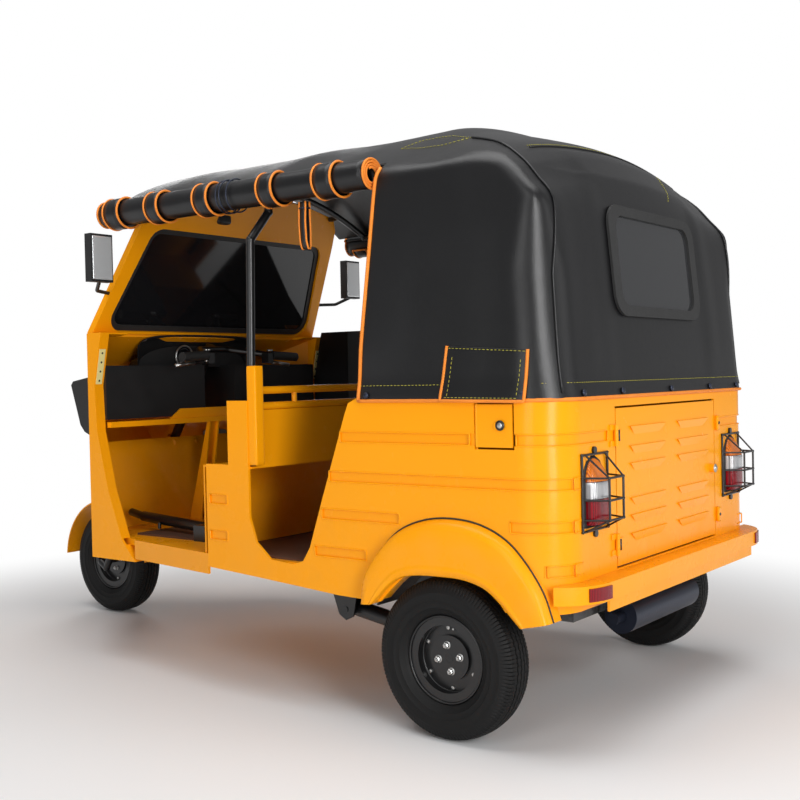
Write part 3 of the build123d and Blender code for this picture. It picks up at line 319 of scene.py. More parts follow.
# %% Glass
@finish("windshield_tint", (0.006, 0.006, 0.007), Alpha=0.97, Specular_IOR_Level=0.5)
@finish("clear_vinyl", (0.03, 0.031, 0.033), Alpha=0.93)
@finish("silvered_glass", (0.85, 0.87, 0.88), Metallic=0.55)
def smeared(place, colour):
    return {"Base_Color": colour, "Roughness": 0.03 + grain(place, 0.2, 4.0) * 0.05}


@finish("amber_lens", (0.45, 0.075, 0.002), (0.9, 0.25, 0.006), Coat_Weight=0.3)
@finish("white_lens", (0.22, 0.22, 0.23), (0.72, 0.72, 0.73), Metallic=0.35, Coat_Weight=0.5)
@finish("red_lens", (0.09, 0.0003, 0.003), (0.3, 0.0008, 0.008), Coat_Weight=0.1,
        Specular_IOR_Level=0.25)
def ribbed(place, deep, colour):
    ribs = bands(place, 75.0)
    return look(ribs, deep, colour, 0.12, 0.0006, ribs + grain(place, 0.004, 1.0) * 0.15)


print(len(finishes), "finishes in all")


# %% [markdown]
# ## The CAD parts get their finish
#
# A rigid CAD solid already has the right shape. It lacks its finish and the small rounding
# of a pressed or moulded edge, since a sharp edge never catches the light. A narrow Bevel
# adds that, and weighted normals keep the flat faces flat.

# %% Finish and edge rounding for each part
dress = {                    # every part that isn't named here is enamelled sheet
    "black_enamel": "chassis_frame trailing_arms arm_brackets shock_absorbers driver_seat_base "
                    "steering_fork floor_controls roof_frame front_rim rear_rim_left "
                    "rear_rim_right lamp_guards handlebar",
    "grained_plastic": "wheel_wells headlamp_housing dashboard mirrors",
    "mat_rubber": "floor_mats",
    "seal_rubber": "windshield_gasket rear_window_gasket handlebar_grips",
    "tyre_rubber": "front_tyre rear_tyre_left rear_tyre_right",
    "cast_alloy": "engine_block",
    "bright_zinc": "driveshafts",
    "blued_steel": "muffler",
    "windshield_tint": "windshield_glass",
    "clear_vinyl": "rear_window_glass",
    "white_lens": "headlamp_lens",
    "red_lens": "reflectors tail_lamps",
    "hood_vinyl": "canopy curtain_rolls right_door",
    "seat_vinyl": "driver_seat passenger_seat",
}
edge_radius = {"enamel": 0.0012, "black_enamel": 0.0015, "grained_plastic": 0.006}


def soften(obj, width):
    """Rounds the edges that turn by more than 30 degrees, and smooths the rest."""
    obj.data.shade_smooth()
    edge = obj.modifiers.new("edge", "BEVEL")
    edge.width, edge.segments = width, 2
    edge.limit_method, edge.angle_limit = "ANGLE", math.radians(30.0)
    obj.modifiers.new("normals", "WEIGHTED_NORMAL")


worn = {member: name for name, members in dress.items() for member in members.split()}
for member, part in node.items():
    name = worn.get(member, "enamel")
    if not part.material_slots:
        part.data.materials.append(finishes[name])
    for held in part.material_slots:
        held.material = finishes[name]
    if name in edge_radius:
        soften(part, edge_radius[name])
print(len(node), "parts finished,", len(node) - len(worn), "of them enamelled")

# %% [markdown]
# ## The stretched hood
#
# Real vinyl is stretched over bent tubes: it is round at the corners, it hangs a little
# between the tubes, and long soft folds run down from them. The hood is the inside of
# several planes and one arched roof at once, with rounded corners. Every vertex of a
# box-shaped net is pushed out from a core inside until it meets that surface.

# %% Helpers that make a piece
def make_piece(name, nets, finish_name, body="body", smooth=True):
    """One object out of nets, each (vertices, faces), that rides a body."""
    verts, faces = [], []
    for more_verts, more_faces in nets:
        faces += [tuple(len(verts) + i for i in face) for face in more_faces]
        verts += [tuple(v) for v in more_verts]
    mesh = bpy.data.meshes.new(name)
    mesh.from_pydata(verts, [], faces)
    mesh.materials.append(finishes[finish_name])
    if smooth:
        mesh.shade_smooth()
    made = put(name, mesh)
    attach(made, body)
    return made


def thicken(made, thickness, offset=0.0, rounds=0):
    """Gives a sheet its thickness, then rounds of subdivision."""
    wall = made.modifiers.new("thickness", "SOLIDIFY")
    wall.thickness, wall.offset = thickness, offset
    if rounds:
        fine = made.modifiers.new("smooth", "SUBSURF")
        fine.levels = fine.render_levels = rounds


def grid_faces(rows, columns, turned=False, ring=False, loop=False):
    """Quads of a grid of points. ring closes its columns and loop its rows."""
    faces = []
    for i in range(rows - 1 + loop):
        a, b = i * columns, (i + 1) % rows * columns
        for j in range(columns - 1 + ring):
            k = (j + 1) % columns
            faces.append((a + j, b + j, b + k, a + k) if turned
                         else (a + j, a + k, b + k, b + j))
    return faces


def end_caps(rows, columns):
    """The first and the last row of a grid as one face each."""
    return [tuple(range(columns)), tuple(range((rows - 1) * columns, rows * columns))]


def turn(count):
    """Even angles once round."""
    return np.linspace(0, 2 * math.pi, count, endpoint=False)


def circle(centre, radius, count, first=0, second=2):
    """Points round a centre, from axis first towards axis second."""
    a, axes = turn(count)[:, None], np.eye(3)
    return np.asarray(centre) + radius * (np.cos(a) * axes[first] + np.sin(a) * axes[second])


def tube_net(path, radius, sides=8, closed=False):
    """Vertices and faces of a round cord along a path of points."""
    path = np.asarray(path, float)
    ahead = np.roll(path, -1, 0) - np.roll(path, 1, 0)
    if not closed:
        ahead[0], ahead[-1] = path[1] - path[0], path[-1] - path[-2]
    ahead /= np.linalg.norm(ahead, axis=1, keepdims=True) + 1e-12
    across, verts = np.cross(ahead[0], (0.3, 0.5, 0.81)), []
    for here, way, reach in zip(path, ahead, np.broadcast_to(radius, len(path))):
        across = across - way * across.dot(way)
        across /= np.linalg.norm(across)
        other = np.cross(way, across)
        verts += [here + reach * (math.cos(a) * across + math.sin(a) * other)
                  for a in turn(sides)]
    faces = grid_faces(len(path), sides, ring=True, loop=closed)
    if not closed:
        foot, head = end_caps(len(path), sides)
        faces += [foot[::-1], head]
    return verts, faces


def even_steps(path, step):
    """The same path with points a constant step apart."""
    path = np.asarray(path, float)
    run = np.append(0.0, np.cumsum(np.linalg.norm(np.diff(path, axis=0), axis=1)))
    stops = np.linspace(0.0, run[-1], max(2, int(run[-1] / step) + 1))
    return np.stack([np.interp(stops, run, path[:, k]) for k in range(3)], 1)


def stitch_nets(path, length=0.007, gap=0.004, radius=0.0008):
    """Short raised stitches along a path."""
    fine = even_steps(path, (length + gap) / 6)
    return [tube_net(fine[i:i + 5], radius * np.array([0.4, 1.0, 1.1, 1.0, 0.4]), 6)
            for i in range(0, len(fine) - 5, 6)]


print("helpers ready")

# %% The hood as a sum of distances
hem_low, hem_foot = 0.846, 0.857
roof_front = -0.37
bows = np.array((-0.23, 0.294, 0.77, 1.03))


def rounded(first, second, radius):
    """The larger of two distances, with the corner between them rounded."""
    return np.minimum(np.maximum(first, second), -radius) + np.hypot(
        np.maximum(first + radius, 0), np.maximum(second + radius, 0))


def plane_distance(level, height, foot, head):
    """Distance outside the line from foot to head, both (level, height) pairs."""
    run = np.subtract(head, foot)
    run = run / np.linalg.norm(run)
    return (level - foot[0]) * run[1] - (height - foot[1]) * run[0]


def hood_distance(points):
    """Distance outside the hood, negative inside it."""
    x, y, z = points.T
    flank = plane_distance(np.abs(x), z, (0.62, hem_foot), (0.606, 1.4324))
    roof = np.hypot(x, z - 1.6328 + 1.0391) - 1.0391
    rise = 0.057 * (1 - (np.minimum(np.abs(x), 0.62) / 0.5) ** 2)
    above_fold = np.interp(z, (1.3, 1.42), (0, 1))
    back = rounded(plane_distance(y, z, (1.255, hem_foot), (1.208, 1.34)),
                   plane_distance(y, z - rise * above_fold, (1.208, 1.34), (1.105, 1.465)),
                   0.02)
    back = rounded(back, plane_distance(y, z - rise, (1.105, 1.465), (0.675, 1.603)), 0.03)
    corner = np.interp(z, (1.15, 1.36), (0.11, 0.035))
    return rounded(rounded(flank, back, corner), roof, 0.022)


def hood_normals(points):
    """Outward directions on the hood."""
    slope = np.stack([hood_distance(points + step) - hood_distance(points - step)
                      for step in np.eye(3) * 0.002], 1)
    return slope / np.linalg.norm(slope, axis=1, keepdims=True)


def ramp(value, start, span):
    """How far value is past start, from 0 to 1 over span."""
    return max(0.0, min(1.0, (value - start) / span))


def hood_relief(points, normals):
    """How far the vinyl stands out from the ideal surface, negative where it sags."""
    raised = []
    for (x, y, z), (_, ny, nz) in zip(points, normals):
        sag = -0.001 - 0.006 * ramp(np.abs(bows - y).min(), 0.0, 0.14) ** 1.3
        over = ramp(nz, 0.35, 0.4)
        fold = noise.noise((x * 5.0, y * 6.5, z * 1.1)) * 0.0075
        fold += noise.noise((x * 13.0, y * 13.0, z * 3.5 + 7.0)) * 0.0022
        pull = noise.noise((x * 3.0, y * 9.0, z * 9.0 + 3.0)) * 0.0025
        upright = (fold + 0.0015) * ramp(z, 0.86, 0.12)
        shape = over * (sag + pull) + (1.0 - over) * upright
        window = ramp(-abs(x), -0.34, 0.06) if ny > 0.6 else 0.0
        hem = ramp(-z, -0.9, 0.04)
        raised.append(shape * (1.0 - window) - 0.0012 * window + 0.0042 * hem)
    return np.array(raised)


def drape(points, lift=0.0):
    """Moves points of the surrounding box onto the vinyl, from a core inside."""
    points = np.asarray(points, float)
    starts = np.clip(points, (-0.54, -9.0, 0.0), (0.54, 1.08, 1.36))
    ways = points - starts
    ways /= np.linalg.norm(ways, axis=1, keepdims=True)
    near, far = np.zeros(len(points)), np.full(len(points), 1.3)
    for _ in range(32):
        middle = (near + far) / 2
        inside = hood_distance(starts + ways * middle[:, None]) < 0
        near, far = np.where(inside, middle, near), np.where(inside, far, middle)
    found = starts + ways * near[:, None]
    normals = hood_normals(found)
    return found + normals * (hood_relief(found, normals) + lift)[:, None]


# %% The net over the hood
def front_line(height):
    """Station of the hood's front edge at a height."""
    return float(np.interp(height, (hem_foot, 1.4, 1.47), (0.674, 0.728, 0.7355)))


def steps(stops, counts):
    """Values that run through stops, with counts intervals between them."""
    runs = [np.linspace(a, b, n, endpoint=False) for a, b, n in zip(stops, stops[1:], counts)]
    return np.append(np.concatenate(runs), stops[-1])


box_x, box_y = 0.62, 1.255
net_x = steps((-0.62, -0.59, -0.5, -0.25, 0.25, 0.5, 0.59, 0.62), (3, 6, 9, 18, 9, 6, 3))
net_fore = steps((roof_front, -0.35, 0.7355), (1, 40))[:-1]
net_aft = steps((0.0, 0.7, 0.94, 1.0), (15, 9, 4))
net_z = steps((hem_low, 0.88, 1.0665, 1.3275, 1.45, 1.56, 1.66), (3, 8, 11, 6, 6, 4))


def net_place(i, j, k):
    """The box point of one node of the net."""
    if j < len(net_fore):
        return net_x[i], net_fore[j], net_z[k]
    start = front_line(net_z[k])
    return net_x[i], start + net_aft[j - len(net_fore)] * (box_y - start), net_z[k]


def cell(corner, first, second):
    """A quad of the net, from its lowest corner along two of its axes."""
    a, b = np.eye(3, dtype=int)[[first, second]]
    return [tuple(corner + step) for step in (a * 0, a, a + b, b)]


def net_faces():
    """Quads of the net as corner indices (i, j, k)."""
    last_i, last_k = len(net_x) - 1, len(net_z) - 1
    last_j = len(net_fore) + len(net_aft) - 1
    for j in range(len(net_fore), last_j):
        for k in range(last_k):
            yield cell((last_i, j, k), 1, 2)
            yield cell((0, j, k), 2, 1)
    for i in range(last_i):
        for j in range(last_j):
            yield cell((i, j, last_k), 0, 1)
        for k in range(last_k):
            x, z = (net_x[i] + net_x[i + 1]) / 2, (net_z[k] + net_z[k + 1]) / 2
            if abs(x) > 0.25 or not 1.0665 < z < 1.3275:
                yield cell((i, last_j, k), 2, 0)


index, quads = {}, []
for quad in net_faces():
    quads.append([index.setdefault(spot, len(index)) for spot in quad])
skin = drape([net_place(*spot) for spot in index])
hood = make_piece("hood", [(skin, quads)], "hood_vinyl")
thicken(hood, 0.002, -1.0, 1)
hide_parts("canopy")
p, q, r, s = skin[np.array(quads)].swapaxes(0, 1)
hood_area = float(np.linalg.norm(np.cross(r - p, s - q), axis=1).sum() / 2)
print(len(skin), "vertices over", round(hood_area, 2), "square metres of vinyl")

# %% [markdown]
# ### Bindings, seams and studs
#
# The free edges are bound with orange tape, dark piping and yellow stitches join the panels,
# and press studs hold the hem to the body.

# %% Edge bindings
def hem_path(height, lift):
    """Points round the hem, from the left front edge to the right one."""
    flank = [(box_x, y, height) for y in np.linspace(front_line(height), 1.08, 30)]
    corner = [(box_x * math.cos(a), 1.08 + 0.175 * math.sin(a), height)
              for a in np.linspace(0.1, 1.2, 12)]
    left = flank + corner
    back = [(x, box_y, height) for x in np.linspace(0.2, -0.2, 9)]
    return drape(left + back + [(-x, y, z) for x, y, z in left[::-1]], lift)


def front_edge(sign):
    """Points up the hood's front edge on one side."""
    return drape([(sign * box_x, front_line(z) - 0.001, z)
                  for z in np.linspace(hem_low, 1.5, 40)])


bindings = [tube_net(hem_path(hem_low + 0.002, 0.001), 0.0048)]
bindings += [tube_net(front_edge(sign), 0.0052) for sign in (1, -1)]
binding = make_piece("hood_binding", bindings, "orange_binding")
print("edge bindings on", len(bindings), "edges")

# %% Seams and stitches
corner_seam = ((0.458, 0.932, 1.528), (0.49, 1.01, 1.5), (0.52, 1.072, 1.47),
               (0.529, 1.11, 1.44), (0.533, 1.15, 1.4), (0.537, 1.19, 1.343),
               (0.547, 1.206, 1.252), (0.558, 1.212, 1.139), (0.567, 1.227, 0.955),
               (0.568, 1.237, 0.864))
loop_low = ((0.472, 0.714, 1.527), (0.503, 0.798, 1.508), (0.501, 0.872, 1.51),
            (0.458, 0.932, 1.528))
loop_high = ((0.472, 0.714, 1.527), (0.425, 0.74, 1.553), (0.43, 0.854, 1.546),
             (0.458, 0.932, 1.528))
faint_seam = ((-0.3, 1.06, 1.53), (-0.24, 1.12, 1.45), (-0.161, 1.175, 1.383))
back_seam = np.array([(x, 1.095, 1.52) for x in np.linspace(0.44, -0.44, 40)])


def on_both_sides(path):
    """The path in even steps, and its mirror image."""
    return [even_steps(np.array(path) * (side, 1.0, 1.0), 0.02) for side in (1.0, -1.0)]


piping_nets, stitches = [tube_net(drape(back_seam, 0.001), 0.0022)], []
for path in on_both_sides(corner_seam):
    piping_nets.append(tube_net(drape(path, 0.0015), 0.0034))
    stitches += stitch_nets(drape(path + (0.0, 0.01, 0.0), 0.0006))
for path in on_both_sides(loop_low) + on_both_sides(loop_high):
    stitches += stitch_nets(drape(path, 0.0008))
stitches += stitch_nets(drape(back_seam + (0.0, -0.012, 0.004), 0.0006))
stitches += stitch_nets(drape(even_steps(faint_seam, 0.02), 0.0005))
stitches += stitch_nets(hem_path(hem_foot + 0.03, 0.0008))
make_piece("seam_piping", piping_nets, "hood_vinyl")
make_piece("hood_stitches", stitches, "seam_thread")
print(len(stitches), "stitches")


# %% Press studs along the hem
def button_net(centre, normal, radius, height,
               rings=((0.0, 0.0), (1.0, 0.0), (1.0, 0.4), (0.75, 0.9), (0.0, 1.0)), sides=14):
    """A turned button on a surface. rings are (share of radius, share of height)."""
    normal = np.asarray(normal, float)
    normal = normal / np.linalg.norm(normal)
    across = np.cross(normal, (0.31, 0.22, 0.93))
    across /= np.linalg.norm(across)
    other = np.cross(normal, across)
    verts = [centre + normal * rise * height + radius * max(share, 0.02) * (
        math.cos(a) * across + math.sin(a) * other)
        for share, rise in rings for a in turn(sides)]
    return verts, grid_faces(len(rings), sides, ring=True) + end_caps(len(rings), sides)[1:]


studs = drape([(side * box_x, y, 0.862) for y in (0.7, 1.165) for side in (1, -1)]
              + [(x, box_y, 0.862) for x in (0.5, 0.289, -0.013, -0.289, -0.5)], 0.001)
make_piece("hem_studs", [button_net(spot, way, 0.0085, 0.006)
                         for spot, way in zip(studs, hood_normals(studs))], "blued_steel")
print(len(studs), "press studs")

# %% [markdown]
# ### The flap over the fuel lid
#
# A flap hangs from the left flank over the fuel lid. Its sides and foot are bound in orange.

# %% Fuel flap
flap_top = np.array(((0.62, 0.952, 0.982), (0.62, 1.188, 0.967)))
flap_foot = np.array(((0.62, 0.934, 0.848), (0.62, 1.17, 0.8455)))


def flap_point(across, down, lift):
    """A point of the flap, from shares of the way rearwards and down."""
    upper, lower = (edge[0] * (1 - across) + edge[1] * across for edge in (flap_top, flap_foot))
    swell = 0.0035 * math.sin(across * math.pi) * down + 0.0015 * math.sin(across * 9.0) * down
    return drape([upper * (1 - down) + lower * down], lift + swell + 0.003 * down)[0]


fuel_flap = make_piece("fuel_flap", [(
    [flap_point(a, d, 0.0022) for a in np.linspace(0, 1, 19) for d in np.linspace(0, 1, 12)],
    grid_faces(19, 12, True))], "hood_vinyl")
thicken(fuel_flap, 0.0018, rounds=1)


def flap_line(a0, d0, a1, d1, lift):
    """Points on the flap between two (across, down) places."""
    return [flap_point(a0 + (a1 - a0) * t, d0 + (d1 - d0) * t, lift)
            for t in np.linspace(0, 1, 24)]


flap_bound = (flap_line(0, 0, 0, 1, 0.0022)[:-1] + flap_line(0, 1, 1, 1, 0.0022)[:-1]
              + flap_line(1, 1, 1, 0, 0.0022))
flap_binding = make_piece("flap_binding", [tube_net(flap_bound, 0.0042)], "orange_binding")
flap_sewing = make_piece("flap_stitches", [net for ends in (
    (0.02, 0.04, 0.98, 0.04), (0.085, 0.2, 0.085, 0.93), (0.915, 0.2, 0.915, 0.93),
    (0.05, 0.94, 0.95, 0.94)) for net in stitch_nets(flap_line(*ends, 0.0034))], "seam_thread")
print("fuel flap hung")

# %% [markdown]
# ## The rolled side curtains
#
# Each side curtain is rolled up under the roof's edge. A roll is a spiral whose bound edge
# makes an orange coil at its end. Five straps and three wire rings hold it.

# %% Spiral rolls
roll_x, roll_z, roll_r = 0.6028, 1.4314, 0.045
roll_front, roll_rear = -0.342, 0.716
turn_r = 0.02 + (roll_r - 0.001 - 0.02) * np.linspace(0, 1, 84)
turn_a = 0.9 + np.linspace(0, 1, 84) * 3.3 * 2 * math.pi


def by_roll(sign, reach, angle, y):
    """A point at a distance and an angle from a roll's middle line."""
    return (sign * (roll_x + reach * math.cos(angle)), y, roll_z + reach * math.sin(angle))


def roll_net(sign, stations):
    """The rolled sheet, a little dented from place to place."""
    verts = []
    for y in stations:
        dent = 0.0022 * noise.noise((y * 9.0, sign * 3.0, 1.0))
        for r, a in zip(turn_r, turn_a):
            wave = 0.0014 * noise.noise((y * 14.0, math.cos(a) * 2.0, math.sin(a) * 2.0 + sign))
            verts.append(by_roll(sign, r + (dent + wave) * (r / roll_r) ** 2 - 0.0016, a, y))
    return verts, grid_faces(len(stations), len(turn_r))


for side_name, sign in (("left", 1), ("right", -1)):
    roll = make_piece(f"curtain_{side_name}", [roll_net(sign, np.linspace(
        roll_front + 0.006, roll_rear - 0.006, 56))], "hood_vinyl")
    thicken(roll, 0.0016)
    bound = make_piece(f"curtain_binding_{side_name}", [
        tube_net([by_roll(sign, r - 0.002, a, y) for r, a in zip(turn_r, turn_a)], 0.0036, 6)
        for y in (roll_front, roll_rear)], "orange_binding")
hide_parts("curtain_rolls")

# %% Straps and rings round the rolls
strap_spans = ((-0.311, -0.244), (-0.12, -0.066), (0.089, 0.145), (0.343, 0.397),
               (0.545, 0.609))


def strap_edge(sign, y):
    """Round the roll from its top inner side, outwards and under."""
    return np.array([by_roll(sign, roll_r + 0.0022, math.radians(118 - 268 * t), y + 0.01 * t)
                     for t in np.linspace(0, 1, 34)])


strap_nets, edge_nets, ring_nets = [], [], []
for sign in (1, -1):
    for start, end in strap_spans:
        fore, aft = strap_edge(sign, start), strap_edge(sign, end)
        strap_nets.append((
            np.concatenate([fore * (1 - s) + aft * s for s in np.linspace(0, 1, 4)]),
            grid_faces(4, len(fore), True)))
        edge_nets.append(tube_net(np.concatenate((fore, [
            fore[-1] * (1 - s) + aft[-1] * s for s in (0.25, 0.5, 0.75)], aft[::-1])),
            0.0036, 6))
    reach = np.array((sign, 1, 1)) * (roll_r + 0.002)
    ring_nets += [tube_net(circle((sign * roll_x, y, roll_z), reach, 40), 0.0022, 6, True)
                  for y in (0.19, 0.204, 0.232)]
straps = make_piece("roll_straps", strap_nets, "hood_vinyl")
thicken(straps, 0.0018)
strap_edges = make_piece("strap_binding", edge_nets, "orange_binding")
make_piece("roll_rings", ring_nets, "blued_steel")
print(len(strap_nets), "straps and", len(ring_nets), "rings")

# %% [markdown]
# ## Seats
#
# Each pad is foam in a sewn cover: its faces are crowned, its sides pull in between the
# corners, sewn channels divide it, and a piping runs round the seam.

# %% Pads
def pad_net(low, high, corner, crown=0.0, pull=0.0, channels=0, along=0, face=2,
            counts=(12, 12, 12)):
    """A padded block between two corners. Sewn channels divide axis along."""
    low, high = np.asarray(low, float), np.asarray(high, float)
    middle, half = (low + high) / 2, (high - low) / 2
    lines = [np.sin(np.linspace(-math.pi / 2, math.pi / 2, n + 1)) for n in counts]
    found, verts, faces = {}, [], []

    def vertex(place):
        key = tuple(np.round(place, 6))
        if key not in found:
            found[key] = len(verts)
            flat = place * half
            core = np.clip(flat, -(half - corner), half - corner)
            over = flat - core
            size = np.linalg.norm(over)
            spot = core + over * (corner / size if size > corner else 1.0)
            for k in range(3):
                bulge = (1 - place[k - 1] ** 2) * (1 - place[k - 2] ** 2)
                spot[k] += place[k] * (crown if k == face else -pull) * bulge
            if channels:
                share = (place[along] + 1) / 2 * channels
                near = abs(share - round(share)) * 2 * half[along] / channels
                if 0 < round(share) < channels:
                    spot[face] -= 0.007 * math.exp(-(near / 0.007) ** 2) * place[face]
            verts.append(middle + spot)
        return found[key]

    for k in range(3):
        m, n = [axis for axis in range(3) if axis != k]
        for end in (-1.0, 1.0):
            for i in range(counts[m]):
                for j in range(counts[n]):
                    ring = []
                    for di, dj in ((0, 0), (1, 0), (1, 1), (0, 1)):
                        place = np.zeros(3)
                        place[k], place[m], place[n] = end, lines[m][i + di], lines[n][j + dj]
                        ring.append(vertex(place))
                    faces.append(ring if end * (-1) ** k > 0 else ring[::-1])
    return verts, faces


def piping(low, high, face, corner=0.022):
    """A cord round the pad's edge, near its outer face."""
    low, half = np.asarray(low), np.subtract(high, low) / 2
    ways = circle((0, 0, 0), 1.0, 120, *[axis for axis in range(3) if axis != face])
    spots = low + half + np.clip(ways * half * 1.42, corner - half, half - corner)
    spots += ways * corner * 0.92
    spots[:, face] = low[face] + half[face] * 2 * 0.86
    return tube_net(spots, 0.0035, 8, True)


pads = (
    ("driver_cushion", (-0.262, -0.124, 0.6635), (0.262, 0.196, 0.719), 2, 4, 0.006),
    ("driver_back", (-0.248, 0.205, 0.6635), (0.248, 0.258, 0.814), 1, 4, 0.005),
    ("passenger_cushion", (-0.583, 0.541, 0.5565), (0.583, 0.874, 0.643), 2, 8, 0.008),
    ("passenger_back", (-0.583, 0.886, 0.618), (0.583, 0.948, 1.008), 1, 8, 0.006),
)
for name, low, high, face, channels, crown in pads:
    counts = [18 * channels, 20, 20]
    counts[face] = 8
    pad = make_piece(name, [
        pad_net(low, high, 0.016, crown, 0.004, channels, 0, face, counts)], "seat_vinyl")
    make_piece(f"{name}_piping", [piping(low, high, face)], "seat_vinyl")
    if name.endswith("cushion"):
        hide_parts(name.replace("cushion", "seat"))
print(len(pads), "pads")

# %% [markdown]
# ## Tyres and wheel nuts
#
# A tyre is one section turned about the axle. On the way round the grooves swing from side
# to side, and every centimetre a narrow sipe cuts the shoulders and the ribs' edges.

# %% One tyre and its fasteners
tyre_r, track_x, rear_y = 0.2035, 0.574, 0.92
shoulder = ((0.03, 0.2003), (0.036, 0.1975), (0.0385, 0.1972), (0.044, 0.1915),
            (0.0485, 0.184), (0.052, 0.176))
sidewall = ((0.0532, 0.17), (0.0536, 0.1692), (0.0532, 0.1684), (0.054, 0.157),
            (0.0532, 0.148), (0.0536, 0.1472), (0.0528, 0.1464), (0.05, 0.134),
            (0.05, 0.131), (0.0478, 0.1295), (0.043, 0.119), (0.038, 0.114),
            (0.032, 0.1112))
sipe_count = 126


def tyre_section():
    """Points (x, radius, swing, depth of the sipe) from bead to bead."""
    flank = [(x, r, 0.0, 0.003 if 0.183 < r < 0.199 else 0.0) for x, r in shoulder]
    flank += [(x, r, 0.0, 0.0) for x, r in sidewall]
    tread = []
    for i, middle in enumerate((0.0215, 0.0072, -0.0072, -0.0215)):
        for offset, depth in ((0.0052, 0.0), (0.0019, 0.0), (0.0013, 0.0055),
                              (-0.0013, 0.0055), (-0.0019, 0.0), (-0.0052, 0.0)):
            x = middle + offset
            tread.append((x, tyre_r - 0.0032 * (x / 0.03) ** 2 - depth, 0.0016 * (-1) ** i,
                          0.0022 if abs(offset) == 0.0019 else 0.0))
    return flank[::-1] + tread + [(-x, *rest) for x, *rest in flank]


def tyre_net(centre):
    """One tyre about a line along X."""
    verts, section = [], tyre_section()
    for k in range(sipe_count):
        for part, cut in ((0.0, 0.0), (0.62, 0.0), (0.76, 1.0), (0.9, 0.0)):
            a = (k + part) / sipe_count * 2 * math.pi
            side_step = abs((k + part) / 2 % 1 * 2 - 1) * 2 - 1
            verts += [(centre[0] + x + swing * side_step,
                       centre[1] + (r - sipe * cut) * math.cos(a),
                       centre[2] + (r - sipe * cut) * math.sin(a))
                      for x, r, swing, sipe in section]
    return verts, grid_faces(4 * sipe_count, len(section), ring=True, loop=True)


def nut_nets(centre, sign):
    """The valve, four hub nuts with studs and six rim bolts, on the outer face."""
    out = (sign, 0.0, 0.0)

    def place(radius, degrees, x):
        a = math.radians(degrees)
        return (centre[0] + sign * x, centre[1] + radius * math.cos(a),
                centre[2] + radius * math.sin(a))

    nets = [tube_net([place(0.079, 74, 0.008), place(0.081, 74, 0.03)], 0.0026)]
    for angle in range(10, 370, 90):
        spot = place(0.033, angle, 0.016)
        nets += [button_net(spot, out, 0.01, 0.003, sides=20),
                 button_net(spot, out, 0.0082, 0.0105, ((0, 0), (1, 0), (1, 0.85), (0.8, 1.0),
                                                         (0, 1.0)), 6),
                 button_net(place(0.033, angle, 0.026), out, 0.004, 0.004)]
    return nets + [button_net(place(0.0755, angle, 0.008), out, 0.0052, 0.005,
                              ((0, 0), (1, 0), (1, 0.8), (0, 1.0)), 6)
                   for angle in range(34, 394, 60)]


wheels = (("front", "front_wheel", (0.0, -1.08, tyre_r), 1),
          ("rear_left", "rear_wheel_left", (track_x, rear_y, tyre_r), 1),
          ("rear_right", "rear_wheel_right", (-track_x, rear_y, tyre_r), -1))
for name, body, centre, sign in wheels:
    tread = make_piece(f"tread_{name}", [tyre_net(centre)], "tyre_rubber", body)
    tread.data.set_sharp_from_angle(angle=math.radians(38))
    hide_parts(body.replace("wheel", "tyre"))
    make_piece(f"wheel_nuts_{name}", nut_nets(centre, sign), "bright_zinc", body, smooth=False)
    make_piece(f"rim_lips_{name}", [
        tube_net(circle(np.add(centre, (side * x, 0, 0)), r, 72, 1), thick, 8, True)
        for side in (-1, 1)
        for x, r, thick in ((0.0335, 0.1085, 0.0032), (0.009, 0.085, 0.003))],
        "black_enamel", body)
print(len(wheels), "tyres with", sipe_count, "sipes each")

# %% [markdown]
# ## Rear fenders
#
# A fender is a pressed hoop: a round shoulder, a nearly flat face and a beaded lip round the
# wheel's opening. One cross-section is blended between two smooth edge curves.

# %% Pressed hoops
fender_crest = ((0.68, 0.324), (0.692, 0.402), (0.738, 0.468), (0.8, 0.522), (0.88, 0.552),
                (0.965, 0.559), (1.045, 0.547), (1.115, 0.514), (1.17, 0.46),
                (1.212, 0.398), (1.236, 0.334))
fender_mouth = ((0.716, 0.326), (0.745, 0.356), (0.772, 0.381), (0.806, 0.402), (0.86, 0.413),
                (0.93, 0.416), (1.0, 0.414), (1.06, 0.398), (1.102, 0.369),
                (1.134, 0.338), (1.158, 0.316))
fender_section = ((0.0, 0.585), (0.0, 0.604), (0.015, 0.622), (0.05, 0.637), (0.11, 0.646),
                  (0.2, 0.6495), (0.5, 0.65), (0.78, 0.6485), (0.83, 0.6485),
                  (0.86, 0.65), (0.9, 0.65), (0.93, 0.648), (0.98, 0.646),
                  (1.0, 0.64), (1.0, 0.6), (1.0, 0.568))


def smooth_curve(stops, count=90):
    """Points on a smooth curve through the stops."""
    stops = np.asarray(stops, float)
    ends = np.vstack((2 * stops[0] - stops[1], stops, 2 * stops[-1] - stops[-2]))
    found = []
    for t in np.linspace(0, len(stops) - 1 - 1e-6, count):
        i, f = int(t), t - int(t)
        a, b, c, d = ends[i:i + 4]
        found.append(0.5 * (2 * b + (c - a) * f + (2 * a - 5 * b + 4 * c - d) * f ** 2
                            + (3 * b - a - 3 * c + d) * f ** 3))
    return found


crest, hoops = smooth_curve(fender_crest), []
for sign in (1, -1):
    verts = [(sign * x, *(outer * (1 - part) + inner * part))
             for outer, inner in zip(crest, smooth_curve(fender_mouth))
             for part, x in fender_section]
    size = len(crest), len(fender_section)
    hoops.append((verts, [face[::sign] for face in grid_faces(*size, True)] + end_caps(*size)))
hoop = make_piece("fender_hoops", hoops, "enamel")
hoop.data.set_sharp_from_angle(angle=math.radians(60))
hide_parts("fenders")
make_piece("fender_seals", [tube_net([(sign * 0.6215, y, z) for y, z in crest], 0.0022, 6)
                            for sign in (1, -1)], "seal_rubber")
print("two fenders pressed")

